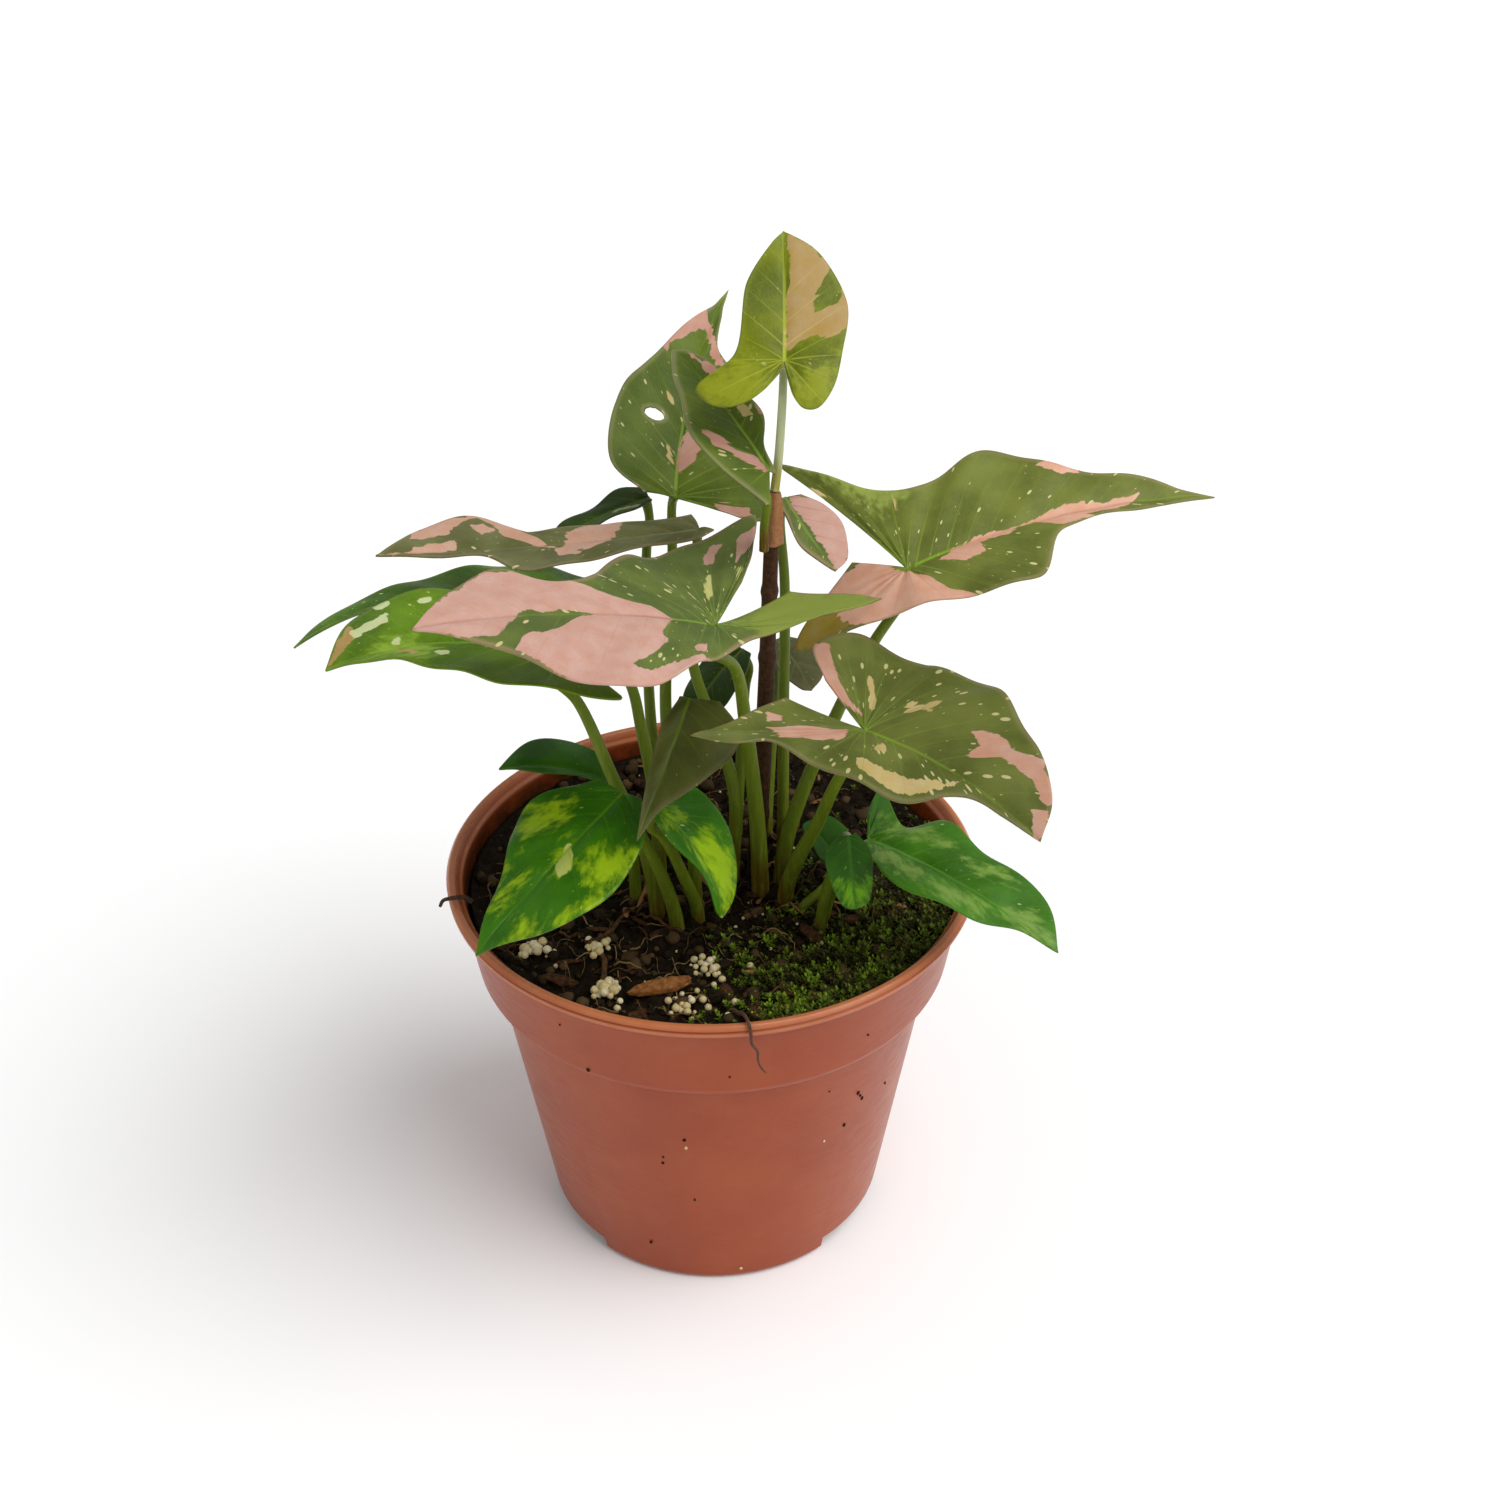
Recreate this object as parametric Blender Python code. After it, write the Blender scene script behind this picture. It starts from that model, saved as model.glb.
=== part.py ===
"""Potted syngonium in a 12 cm plastic nursery pot.

Lengths are in millimetres and angles in degrees; MM turns millimetres to Blender's metres.
The origin lies on the pot's axis, on the surface the pot stands on. +Z is up, and the
front of the plant faces -Y, so +X is on the right.
"""
import math

import bmesh
import bpy
import numpy as np
from mathutils import Vector, noise

MM = 0.001
GAP = 0.3                      # clearance between two pieces that touch on the real plant
SLIVER = 0.04                  # edges shorter than this are closed after a cut
SHARP_ANGLE = 35.0             # edges that turn more than this are shaded sharp

# Pot
POT_RIM_RADIUS = 59.3          # outside of the rolled lip
POT_HEIGHT = 93.0
POT_WALL = 1.2
LIP_DEPTH = 4.0                # height of the rolled lip
LIP_REACH = 2.5                # how far the lip stands out of the collar
COLLAR_INSIDE_TOP = POT_HEIGHT - 1.4
COLLAR_TOP_RADIUS = 56.8
COLLAR_FOOT_RADIUS = 53.8
COLLAR_FOOT_HEIGHT = 70.5
SHOULDER_HEIGHT = 2.0          # slanted step between the body and the collar
BODY_TOP_RADIUS = 50.0
BODY_FOOT_RADIUS = 39.3
FLOOR_TOP = 6.2                # inside of the pot's floor
RECESS_HEIGHT = 4.6            # underside of the floor, between the foot ring and the hub
FOOT_RING_INNER_RADIUS = 34.0
HUB_RADIUS = 13.0              # flat hub in the middle of the base, level with the feet
NOTCH_HEIGHT = 4.5             # gaps that part the foot ring into three feet
NOTCH_WIDTH_ANGLE = 40.0
NOTCH_ANGLES = (-150.0, -30.0, 90.0)
DRAIN_RADIUS = 3.2
DRAIN_SIDES = 12
EDGE_ROUND = 1.2               # bevels of the lip and the feet
POT_SIDES = 56

# Soil
SOIL_CENTRE_HEIGHT = 86.0
SOIL_EDGE_DROP = 1.6
SOIL_LUMP = 0.9                # height of the lumps
SOIL_LUMP_SIZE = 9.0
SOIL_SIDES = 36
SOIL_RINGS = (9.0, 17.0, 25.0, 33.0, 41.0, 48.0)
HOLE_SIDES = 8
HOLE_CLEARANCE = 0.5           # between a stem and the flats of its hole
FOOT_BOTTOM = 77.0             # lower end of every stem, in its hole in the soil
HOLE_BOTTOM = 76.0

# Moss: a mat that follows the soil's own grid, from ring to ring and from side to side
MOSS_FIRST_RING = 3
MOSS_FIRST_SIDE = 28
MOSS_LAST_SIDE = 35
MOSS_HEIGHT = 2.4
MOSS_BORDER = 0.45             # height of the mat's border, as a share of its full height
MOSS_TUFT_SIZE = 6.0

# Stems
STEM_ROUTE = [(10, 3.5, FOOT_BOTTOM), (10, 3.5, 88), (11, 4, 110), (12, 4, 134),
              (12.5, 4, 151), (13, 4, 169.5)]
STEM_RADII = (2.9, 2.0)
SHEATH_ROUTE = [(13, 4, 169.8), (13.3, 4, 175), (13.7, 4.2, 181)]
SHEATH_RADII = (2.5, 1.7)
STEM_SIDES = 10
PETIOLE_SIDES = 6
PETIOLE_TOP_RADIUS = 1.0
PETIOLE_STEP = 9.0             # distance between the rings of a petiole
PETIOLE_NECK = 5.0             # last stretch, square to the blade
SEAT_OFFSET = 0.8              # the petiole meets the midrib this far in front of the notch

# Leaves
BLADE_THICKNESS = 0.7
VEIN_LEAN = 1.4                # above 1 the side veins leave the midrib early and lean to the tip
FAN_ANGLE = 60.0               # the vein at this angle to the midrib is the last in front of the joint
FAN_STEP = 1.5                 # least angle between two veins of the fan
VEIN_SPACING = 5.5             # distance between the side veins of the faceted blade
MARGIN_POINTS = 241            # places on the smooth outline of one half
WAVE_TURN = 1.9                # radians of the margin's wave from one vein to the next
BLADE_ROWS = 2
HALF_WIDTH_SHARE = 0.4         # half width of a blade, for its cupping, as a share of its length
LOBE_SHARE = 0.3               # length of a back lobe, for its droop, as a share of the length

LEAVES = {}
LEAVES["crown"] = dict(
    joint=(15.5, 5, 209), heading=89, rise=44, roll=2,
    length=28, bend=2, sway=2, twist=3, fold=7, cup=1.5, lobe=0, wave=0.4,
    left=[(25, 2.5), (16.5, 7.5), (1, 10), (-6, 17.5), (-9, 9.5)],
    right=[(23, 7), (12.5, 12.5), (2.5, 11), (-9.5, 6.5), (-8.5, 3.5)],
    petiole=[(13.7, 4.2, 181.4), (14.4, 4.7, 188), (15.1, 4.6, 200)],
    foot_radius=1.5,
)
LEAVES["upper_middle"] = dict(
    joint=(12.5, 0.5, 187.5), heading=124, rise=31, roll=4,
    length=37, bend=15, sway=3, twist=-1, fold=12, cup=1.5, lobe=1, wave=0.5,
    left=[(32.5, 3.5), (21, 9.5), (8.5, 13), (-8, 5), (-3.5, 5)],
    right=[(34.5, 2.5), (13, 6), (6, 2.2), (0, 1.2), (-1.5, 0.8)],
    petiole=[(11.5, 0.2, 169.8), (11.6, -0.2, 176), (12.1, -0.5, 182)],
    foot_radius=1.3,
)
LEAVES["window"] = dict(
    joint=(-7.5, 26.5, 169), heading=88, rise=36, roll=12,
    length=59, bend=9, sway=-21, twist=5, fold=9, cup=1.5, lobe=0, wave=0.6,
    left=[(47.5, 5), (29.5, 11.5), (23, 15), (6, 15), (0, 7)],
    right=[(50, 2), (41, 3.5), (31.5, 11), (13.5, 16.5), (-4, 19.5), (-0.5, 3.5)],
    petiole=[(-8.5, 14, FOOT_BOTTOM), (-8.5, 14, 88), (-10.5, 20, 122), (-8.5, 25.5, 152)],
    foot_radius=1.7,
)
LEAVES["left_narrow"] = dict(
    joint=(-13.5, 33.5, 165.5), heading=203, rise=-7, roll=2,
    length=25, bend=18, sway=3, twist=2, fold=11, cup=0.5, lobe=0, wave=0.4,
    left=[(19.5, 4), (11.5, 3.5), (5.5, 4.5), (0, 2)],
    right=[(20, 4), (11.5, 4.5), (4.5, 6.5), (-0.5, 4)],
    petiole=[(-12.5, 19, FOOT_BOTTOM), (-12.5, 19, 88), (-14.5, 26, 120), (-14.5, 33, 152)],
    foot_radius=1.5,
)
LEAVES["left_long"] = dict(
    joint=(-2, 18.5, 165.5), heading=197, rise=0, roll=4,
    length=68.5, bend=-4, sway=-7, twist=-2, fold=4, cup=1, lobe=0, wave=0.5,
    left=[(56, 2.5), (47, 4), (38.5, 13.5), (21, 8), (2.5, 5.5), (-2.5, 2)],
    right=[(51, 15.5), (36, 7), (16.5, 8), (9.5, 6), (0, 7)],
    petiole=[(4.7, 1.5, FOOT_BOTTOM), (4.7, 1.5, 88), (5.1, 2, 109), (1.1, 5.5, 123), (-4, 11, 138)],
    foot_radius=1.7,
)
LEAVES["right_large"] = dict(
    joint=(41, 0.5, 165.5), heading=18, rise=18, roll=17,
    length=70, bend=23, sway=-10, twist=1, fold=9, cup=1.5, lobe=5.5, wave=0.8,
    left=[(58, 5.5), (41, 11), (27, 20.5), (7, 18), (-11.5, 40.5), (-3, 19)],
    right=[(50, 2.5), (34, 4), (23, 16), (8, 14.5), (-9, 9), (-27.5, 1), (-8.5, -10)],
    petiole=[(15.7, 0, FOOT_BOTTOM), (15.7, 0, 88), (17, 0, 99), (24.2, 0, 122.5), (34.5, 0, 148)],
    foot_radius=2.1,
)
LEAVES["small_pink"] = dict(
    joint=(16, 13, 175.5), heading=-58, rise=-32, roll=1,
    length=19.5, bend=2, sway=12, twist=-2, fold=6, cup=0.5, lobe=0, wave=0.3,
    left=[(18.5, 4), (11.5, 8), (4.5, 7), (0.5, 3.5)],
    right=[(17, 1.5), (12, 3.5), (5, 2.5), (0, 2.5)],
    petiole=[(16, 9, FOOT_BOTTOM), (16, 9, 88), (16, 12.5, 120), (16, 14, 155)],
    foot_radius=1.5,
)
LEAVES["front_pink"] = dict(
    joint=(2, -25, 166.5), heading=206, rise=23, roll=-5,
    length=62, bend=20, sway=1, twist=-5, fold=2, cup=1.5, lobe=-8.5, wave=0.8,
    left=[(53, 6), (30, 23.5), (-11, 5), (-28, 9), (-17, -5.5)],
    right=[(53.5, 8), (41.5, 15), (26, 10.5), (14.5, 21), (-21.5, 35.5), (-10.5, 14)],
    petiole=[(10.8, -3.7, FOOT_BOTTOM), (10.8, -3.7, 88), (10.1, -4.6, 106), (7.6, -9, 134.5),
             (5.6, -13.5, 150)],
    foot_radius=2.2,
)
LEAVES["far_left"] = dict(
    joint=(-21.2, 9, 146.8), heading=172, rise=26, roll=13,
    length=72, bend=62, sway=3, twist=-1, fold=12, cup=1.5, lobe=0, wave=0.6,
    left=[(57, 3), (38, 11), (14, 14), (-10, 14), (-4, 5)],
    right=[(67.5, 3), (42, 8.5), (14.5, 16.5), (-10, 13), (-4, 5)],
    petiole=[(-12, 2, FOOT_BOTTOM), (-12, 2, 88), (-12.5, 2, 107), (-15, 2.5, 125), (-17.5, 3.5, 137)],
    foot_radius=1.8,
)
LEAVES["left_lower"] = dict(
    joint=(-28.3, -21, 156.7), heading=179, rise=19, roll=-2,
    length=49.3, bend=45, sway=3, twist=-4, fold=10, cup=1.5, lobe=0, wave=0.6,
    left=[(39.5, 3), (26.5, 9.5), (11, 15.5), (-12.5, 10.5), (-5, 5.5)],
    right=[(44.5, 11.5), (28.5, 17.5), (10, 13.5), (-12, 12), (-5, 5)],
    petiole=[(-12, -12.5, FOOT_BOTTOM), (-12, -12.5, 88), (-14.1, -13, 104), (-20.5, -15, 125),
             (-26.5, -17, 144)],
    foot_radius=1.9,
)
LEAVES["right_front"] = dict(
    joint=(31.2, -35, 148.5), heading=-33, rise=0, roll=0,
    length=42, bend=25, sway=-9, twist=25, fold=9, cup=1, lobe=-4, wave=0.8,
    left=[(38, 7.5), (23.5, 18), (11.5, 24.5), (-13, 22.5), (-18.5, 11), (-12.5, 5.5)],
    right=[(34, 1.8), (26.5, 3), (20, 11.5), (12.5, 16), (-9.5, 20.5), (-17.5, 33.5), (-14.5, 6.5)],
    petiole=[(16.5, -7, FOOT_BOTTOM), (16.5, -7, 88), (19, -9.5, 99), (22.8, -14, 111), (27.5, -24, 131)],
    foot_radius=2.0,
)
LEAVES["back_dark"] = dict(
    joint=(7, 27, 131), heading=219, rise=-25, roll=4,
    length=21.5, bend=23, sway=1, twist=1, fold=5, cup=1, lobe=0, wave=0.4,
    left=[(19, 3), (13.5, 7.5), (5, 6.5), (0, 3)],
    right=[(19, 3), (13, 6.5), (5, 6.5), (0, 3)],
    petiole=[(5.5, 19, FOOT_BOTTOM), (5.5, 19, 88), (6.5, 24, 106), (7.5, 27.5, 121)],
    foot_radius=1.4,
)
LEAVES["back_olive"] = dict(
    joint=(14.5, 27, 133.5), heading=-49, rise=-21, roll=0,
    length=14.5, bend=22, sway=-2, twist=0, fold=6, cup=0, lobe=0, wave=0.3,
    left=[(13, 3.5), (9, 7), (3.5, 5.5), (0, 2)],
    right=[(13.5, 2.5), (9, 5), (4, 4.5), (0, 2)],
    petiole=[(12.5, 19, FOOT_BOTTOM), (12.5, 19, 88), (13.5, 24, 107), (14.5, 27.5, 124)],
    foot_radius=1.3,
)
LEAVES["hanging"] = dict(
    joint=(-3.5, -21.5, 147.5), heading=-105, rise=-22, roll=-1,
    length=34, bend=6, sway=-6, twist=0, fold=6, cup=1.5, lobe=0, wave=0.5,
    left=[(26, 2.5), (18, 9), (7, 12.5), (0, 6.5)],
    right=[(24.5, 2), (17.5, 3), (8, 3.5), (0, 2)],
    petiole=[(-3.5, -8.5, FOOT_BOTTOM), (-3.5, -8.5, 88), (-4, -12, 110), (-4.5, -17, 132)],
    foot_radius=1.6,
)
LEAVES["bottom_left"] = dict(
    joint=(-17, -30, 130.5), heading=232, rise=-14, roll=1,
    length=45.5, bend=14, sway=-5, twist=1, fold=4, cup=1.5, lobe=0, wave=0.6,
    left=[(39.5, 5), (29.5, 13.5), (11, 14), (0, 5)],
    right=[(38.5, 4), (29, 8), (12.5, 16), (0, 7)],
    petiole=[(-7.5, -17.5, FOOT_BOTTOM), (-7.5, -17.5, 88), (-10.5, -21, 104), (-15.5, -27, 121)],
    foot_radius=1.8,
)
LEAVES["small_left"] = dict(
    joint=(-20, -9, 118), heading=168, rise=25, roll=2,
    length=26.5, bend=43, sway=4, twist=-5, fold=8, cup=1, lobe=0, wave=0.4,
    left=[(20, 2), (14, 2.5), (6.5, 2), (-0.5, 1.5)],
    right=[(21, 8), (14, 10), (6.5, 7.5), (0, 2.5)],
    petiole=[(-17, -6.5, FOOT_BOTTOM), (-17, -6.5, 88), (-18, -7.5, 103)],
    foot_radius=1.5,
)
LEAVES["drooping"] = dict(
    joint=(-11, -28, 125.5), heading=-30, rise=-21, roll=-2,
    length=28.5, bend=63, sway=-2, twist=-1, fold=8, cup=1, lobe=0, wave=0.3,
    left=[(26.5, 4), (18.5, 9), (2.5, 11.5), (0, 4.5)],
    right=[(26, 2), (16.5, 2.5), (7, 5), (0, 2.5)],
    petiole=[(-3, -14, FOOT_BOTTOM), (-3, -14, 88), (-5.5, -19, 101), (-9.5, -25, 116)],
    foot_radius=1.6,
)
LEAVES["spoon"] = dict(
    joint=(29.1, -27, 117.5), heading=-80, rise=-62, roll=2,
    length=16, bend=16, sway=5, twist=-2, fold=4, cup=0.5, lobe=0, wave=0,
    left=[(14, 2), (8, 2.6), (2, 2.6), (-0.5, 1.2)],
    right=[(14, 2), (8, 4.5), (2.5, 5.8), (-0.5, 3.5)],
    petiole=[(24, -17.5, FOOT_BOTTOM), (24, -17.5, 88), (25.5, -19.5, 100), (27.3, -23.5, 110)],
    foot_radius=1.3,
)
LEAVES["right_bottom"] = dict(
    joint=(33.5, -20, 112), heading=-35, rise=1, roll=0,
    length=47.5, bend=25, sway=0, twist=0, fold=8, cup=1.5, lobe=0, wave=0.6,
    left=[(38.5, 9), (21.5, 11), (11, 13.5), (4.5, 7.5), (-7, 17), (-4.5, 7)],
    right=[(39.5, 2.5), (28.5, 8.5), (12, 10.5), (0, 2.5)],
    petiole=[(25, -13.5, FOOT_BOTTOM), (25, -13.5, 88), (29, -14, 99), (33, -17, 106.5)],
    foot_radius=1.6,
)
LEAVES["back_low"] = dict(
    joint=(29, -6, 94.5), heading=123, rise=22, roll=1,
    length=14, bend=5, sway=1, twist=0, fold=6, cup=0, lobe=0, wave=0.2,
    left=[(13, 2.5), (7.5, 3.5), (4, 4), (0, 2)],
    right=[(13, 4.5), (8, 6.5), (4.5, 5), (0, 2.5)],
    petiole=[(20, -10.5, FOOT_BOTTOM), (20, -10.5, 86), (24, -9.5, 90)],
    foot_radius=1.2,
)

# Loose pieces on the soil: middle, size and, for the heaps, the number of grains
GRANULE_RADIUS = 1.5
GRAIN_TURN = 2.4               # radians from one grain to the next, round the heap
GRANULE_HEAPS = {
    "granules_left": dict(middle=(-37.5, -25.5), grains=6, spread=3.0),
    "granules_front_left": dict(middle=(-22, -39), grains=6, spread=2.6),
    "granules_middle_left": dict(middle=(-24, -26), grains=4, spread=2.2),
    "granules_middle": dict(middle=(-1, -32), grains=7, spread=2.7),
    "granules_front": dict(middle=(-4.5, -45), grains=5, spread=2.6),
}
CHIP_MIDDLE = (-10.5, -39)
CHIP_SIZE = (6.5, 2.4, 1.3)    # half sizes
CHIP_TURN = 14.0
ROOT_HAIR_RADIUS = 0.35
TWIG_RADIUS = 0.55
TWIG_ANGLE = 197.0             # where the scrap sticks out over the rim
TRIM_SIDES = 5
TRIM_STEP = 3.0


def smooth_curve(points, count):
    """Evenly parametrised Catmull-Rom curve (centripetal) through the points."""
    points = np.array(points, dtype=float)
    before = 2 * points[0] - points[1]
    after = 2 * points[-1] - points[-2]
    points = np.vstack([before, points, after])
    spacing = np.linalg.norm(np.diff(points, axis=0), axis=1) ** 0.5
    knots = np.concatenate([[0], np.cumsum(np.maximum(spacing, 1e-6))])
    places = np.linspace(knots[1], knots[-2], count)
    first = np.clip(np.searchsorted(knots, places, side="right") - 1, 1, len(points) - 3)

    def blend(a, b, knot_a, knot_b):
        share = ((places - knot_a) / (knot_b - knot_a))[:, None]
        return a * (1 - share) + b * share

    p0, p1, p2, p3 = (points[first + step] for step in (-1, 0, 1, 2))
    k0, k1, k2, k3 = (knots[first + step] for step in (-1, 0, 1, 2))
    a1, a2, a3 = blend(p0, p1, k0, k1), blend(p1, p2, k1, k2), blend(p2, p3, k2, k3)
    b1, b2 = blend(a1, a2, k0, k2), blend(a2, a3, k1, k3)
    return blend(b1, b2, k1, k2)


def material(name, colour, roughness=0.5, metallic=0.0):
    made = bpy.data.materials.new(name)
    made.use_nodes = True
    shader = made.node_tree.nodes["Principled BSDF"]
    shader.inputs["Base Color"].default_value = (*colour, 1.0)
    shader.inputs["Roughness"].default_value = roughness
    shader.inputs["Metallic"].default_value = metallic
    made.diffuse_color = (*colour, 1.0)
    return made


def add_object(name, vertices, faces, finish, smooth=True):
    """A mesh object from millimetre vertices, with its faces turned outward."""
    mesh = bpy.data.meshes.new(name)
    mesh.from_pydata([tuple(float(c) * MM for c in v) for v in vertices], [], faces)
    work = bmesh.new()
    work.from_mesh(mesh)
    bmesh.ops.remove_doubles(work, verts=work.verts, dist=0.00001)
    bmesh.ops.recalc_face_normals(work, faces=work.faces)
    work.to_mesh(mesh)
    work.free()
    mesh.materials.append(finish)
    if smooth:
        mesh.shade_smooth()
        mesh.set_sharp_from_angle(angle=math.radians(SHARP_ANGLE))
    made = bpy.data.objects.new(name, mesh)
    bpy.context.scene.collection.objects.link(made)
    return made


def weld_slivers(mesh):
    """Closes the hair-thin triangles that a cut leaves along its edge."""
    work = bmesh.new()
    work.from_mesh(mesh)
    bmesh.ops.triangulate(work, faces=work.faces)
    bmesh.ops.remove_doubles(work, verts=work.verts, dist=SLIVER * MM)
    bmesh.ops.dissolve_degenerate(work, edges=work.edges, dist=SLIVER * MM)
    bmesh.ops.triangulate(work, faces=work.faces)
    work.to_mesh(mesh)
    work.free()


def join_boolean(target, tools, operation):
    """Cuts or adds the tools, applies the result to the target and removes the tools."""
    for tool in tools:
        cut = target.modifiers.new(operation.title(), "BOOLEAN")
        cut.operation = operation
        cut.object = tool
        tool.hide_render = True
        tool.display_type = "WIRE"
    bpy.context.view_layer.update()
    graph = bpy.context.evaluated_depsgraph_get()
    result = bpy.data.meshes.new_from_object(target.evaluated_get(graph))
    target.modifiers.clear()
    target.data = result
    weld_slivers(result)
    for tool in tools:
        bpy.data.objects.remove(tool)


def lathe(name, profile, sides, finish):
    """Turns a closed profile of (radius, height) points round the Z axis."""
    vertices, faces, rings = [], [], []
    for radius, height in profile:
        if radius < 1e-6:
            rings.append([len(vertices)])
            vertices.append((0, 0, height))
            continue
        rings.append(list(range(len(vertices), len(vertices) + sides)))
        for side in range(sides):
            angle = 2 * math.pi * side / sides
            vertices.append((radius * math.cos(angle), radius * math.sin(angle), height))
    for ring, following in zip(rings, rings[1:]):
        for side in range(sides):
            corners = [ring[side % len(ring)], ring[(side + 1) % len(ring)],
                       following[(side + 1) % len(following)], following[side % len(following)]]
            corners = list(dict.fromkeys(corners))
            if len(corners) > 2:
                faces.append(corners)
    return add_object(name, vertices, faces, finish)


def tube(name, route, radii, sides, finish, step=PETIOLE_STEP):
    """A round stem along a smooth curve; its radius runs from the first value to the second."""
    length = sum(math.dist(a, b) for a, b in zip(route, route[1:]))
    count = max(3, round(length / step) + 1)
    path = smooth_curve(route, count)
    vertices, faces = [], []
    across = Vector((1, 0, 0))
    for index, place in enumerate(path):
        ahead = Vector(path[min(index + 1, count - 1)] - path[max(index - 1, 0)]).normalized()
        across = (across - ahead * across.dot(ahead)).normalized()
        beside = ahead.cross(across)
        radius = radii[0] + (radii[1] - radii[0]) * index / (count - 1)
        for side in range(sides):
            angle = 2 * math.pi * side / sides
            offset = (across * math.cos(angle) + beside * math.sin(angle)) * radius
            vertices.append(Vector(place) + offset)
    for ring in range(count - 1):
        for side in range(sides):
            here, there = ring * sides, (ring + 1) * sides
            following = (side + 1) % sides
            faces.append([here + side, here + following, there + following, there + side])
    faces.append(list(range(sides))[::-1])
    faces.append([(count - 1) * sides + side for side in range(sides)])
    return add_object(name, vertices, faces, finish)


def leaf_frame(leaf):
    """Directions along the midrib, to the leaf's left, and out of its upper face."""
    heading, rise, roll = (math.radians(leaf[key]) for key in ("heading", "rise", "roll"))
    level = np.array([-math.sin(heading), math.cos(heading), 0.0])
    ahead = np.array([math.cos(heading), math.sin(heading), 0.0])
    along = ahead * math.cos(rise) + np.array([0, 0, math.sin(rise)])
    upright = np.cross(along, level)
    left = level * math.cos(roll) + upright * math.sin(roll)
    return along, left, upright * math.cos(roll) - level * math.sin(roll)


def spine(leaf, reach=0.8, stations=120):
    """The curved midrib, as the turn angles and places of stations behind and before the joint."""
    length = leaf["length"]
    place = np.linspace(-reach, 1.1, stations) * length
    share = np.clip(place / length, 0, None)
    droop = np.radians(leaf["bend"]) * share
    turn = np.radians(leaf["sway"]) * share
    ahead = np.stack([np.cos(droop) * np.cos(turn), np.cos(droop) * np.sin(turn), -np.sin(droop)], -1)
    steps = (ahead[1:] + ahead[:-1]) / 2 * (place[1] - place[0])
    route = np.vstack([np.zeros(3), np.cumsum(steps, axis=0)])
    start = np.array([np.interp(0, place, route[:, axis]) for axis in range(3)])
    return place, droop, turn, route - start


def leaf_points(leaf, along, across, side):
    """Lifts flat leaf places (mm along the midrib, mm out to one side) into the bent leaf."""
    length = leaf["length"]
    place, droop, turn, route = spine(leaf)
    centre = np.stack([np.interp(along, place, route[:, axis]) for axis in range(3)], -1)
    down = np.interp(along, place, droop)
    round_ = np.interp(along, place, turn)
    twist = np.radians(leaf["twist"]) * np.clip(along / length, 0, None)
    ahead = np.stack([np.cos(down) * np.cos(round_), np.cos(down) * np.sin(round_), -np.sin(down)], -1)
    left = np.stack([-np.sin(round_), np.cos(round_), 0 * round_], -1)
    up = np.cross(ahead, left)
    left, up = (left * np.cos(twist)[:, None] + up * np.sin(twist)[:, None],
                up * np.cos(twist)[:, None] - left * np.sin(twist)[:, None])
    fold = math.radians(leaf["fold"])
    width = HALF_WIDTH_SHARE * length
    behind = np.clip(-along, 0, None) / (LOBE_SHARE * length)
    height = across * math.sin(fold) - leaf["cup"] * (np.clip(across, 0, None) / width) ** 2
    height = height - leaf["lobe"] * behind ** 1.5
    local = centre + left * (side * across * math.cos(fold))[:, None] + up * height[:, None]
    return np.array(leaf["joint"]) + local @ np.array(leaf_frame(leaf))


def vein_grid(leaf, side_name, spacing, rows):
    """Flat places of the veins of one side: from the midrib (row 0) to the margin (last row).

    In front, the veins leave the midrib. In the lobe they fan out from the joint, up to the
    margin point that lies furthest round, and the last of them is the lobe's inner edge.
    """
    length = leaf["length"]
    margin = smooth_curve([(length, 0)] + leaf[side_name], MARGIN_POINTS)
    reach = np.concatenate([[0], np.cumsum(np.linalg.norm(np.diff(margin, axis=0), axis=1))])
    angle = np.arctan2(margin[:, 1], margin[:, 0])
    angle = np.where(angle < -math.pi / 2, angle + 2 * math.pi, angle)
    fan_start = int(np.argmax(angle > math.radians(FAN_ANGLE)))
    fan_end = int(np.argmax(angle))
    front_columns = max(5, round(length / spacing))
    fan_columns = max(1, round((reach[fan_end] - reach[fan_start]) / spacing))
    front = np.linspace(0, reach[fan_start], front_columns + 1)
    fan = np.linspace(reach[fan_start], reach[fan_end], fan_columns + 1)[1:]
    stations = np.concatenate([front, fan])
    ends = np.stack([np.interp(stations, reach, margin[:, axis]) for axis in (0, 1)], -1)
    turned = np.arctan2(ends[:, 1], ends[:, 0])
    turned = np.where(turned < -math.pi / 2, turned + 2 * math.pi, turned)
    for column in range(front_columns + 1, len(stations)):
        turned[column] = max(turned[column], turned[column - 1] + math.radians(FAN_STEP))
        distance = math.hypot(*ends[column])
        ends[column] = (distance * math.cos(turned[column]), distance * math.sin(turned[column]))
    roots = np.zeros_like(ends)
    roots[:front_columns + 1, 0] = length * (1 - np.linspace(0, 1, front_columns + 1)) ** VEIN_LEAN
    share = np.linspace(0, 1, rows + 1)[:, None, None]
    return roots * (1 - share) + ends * share


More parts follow.
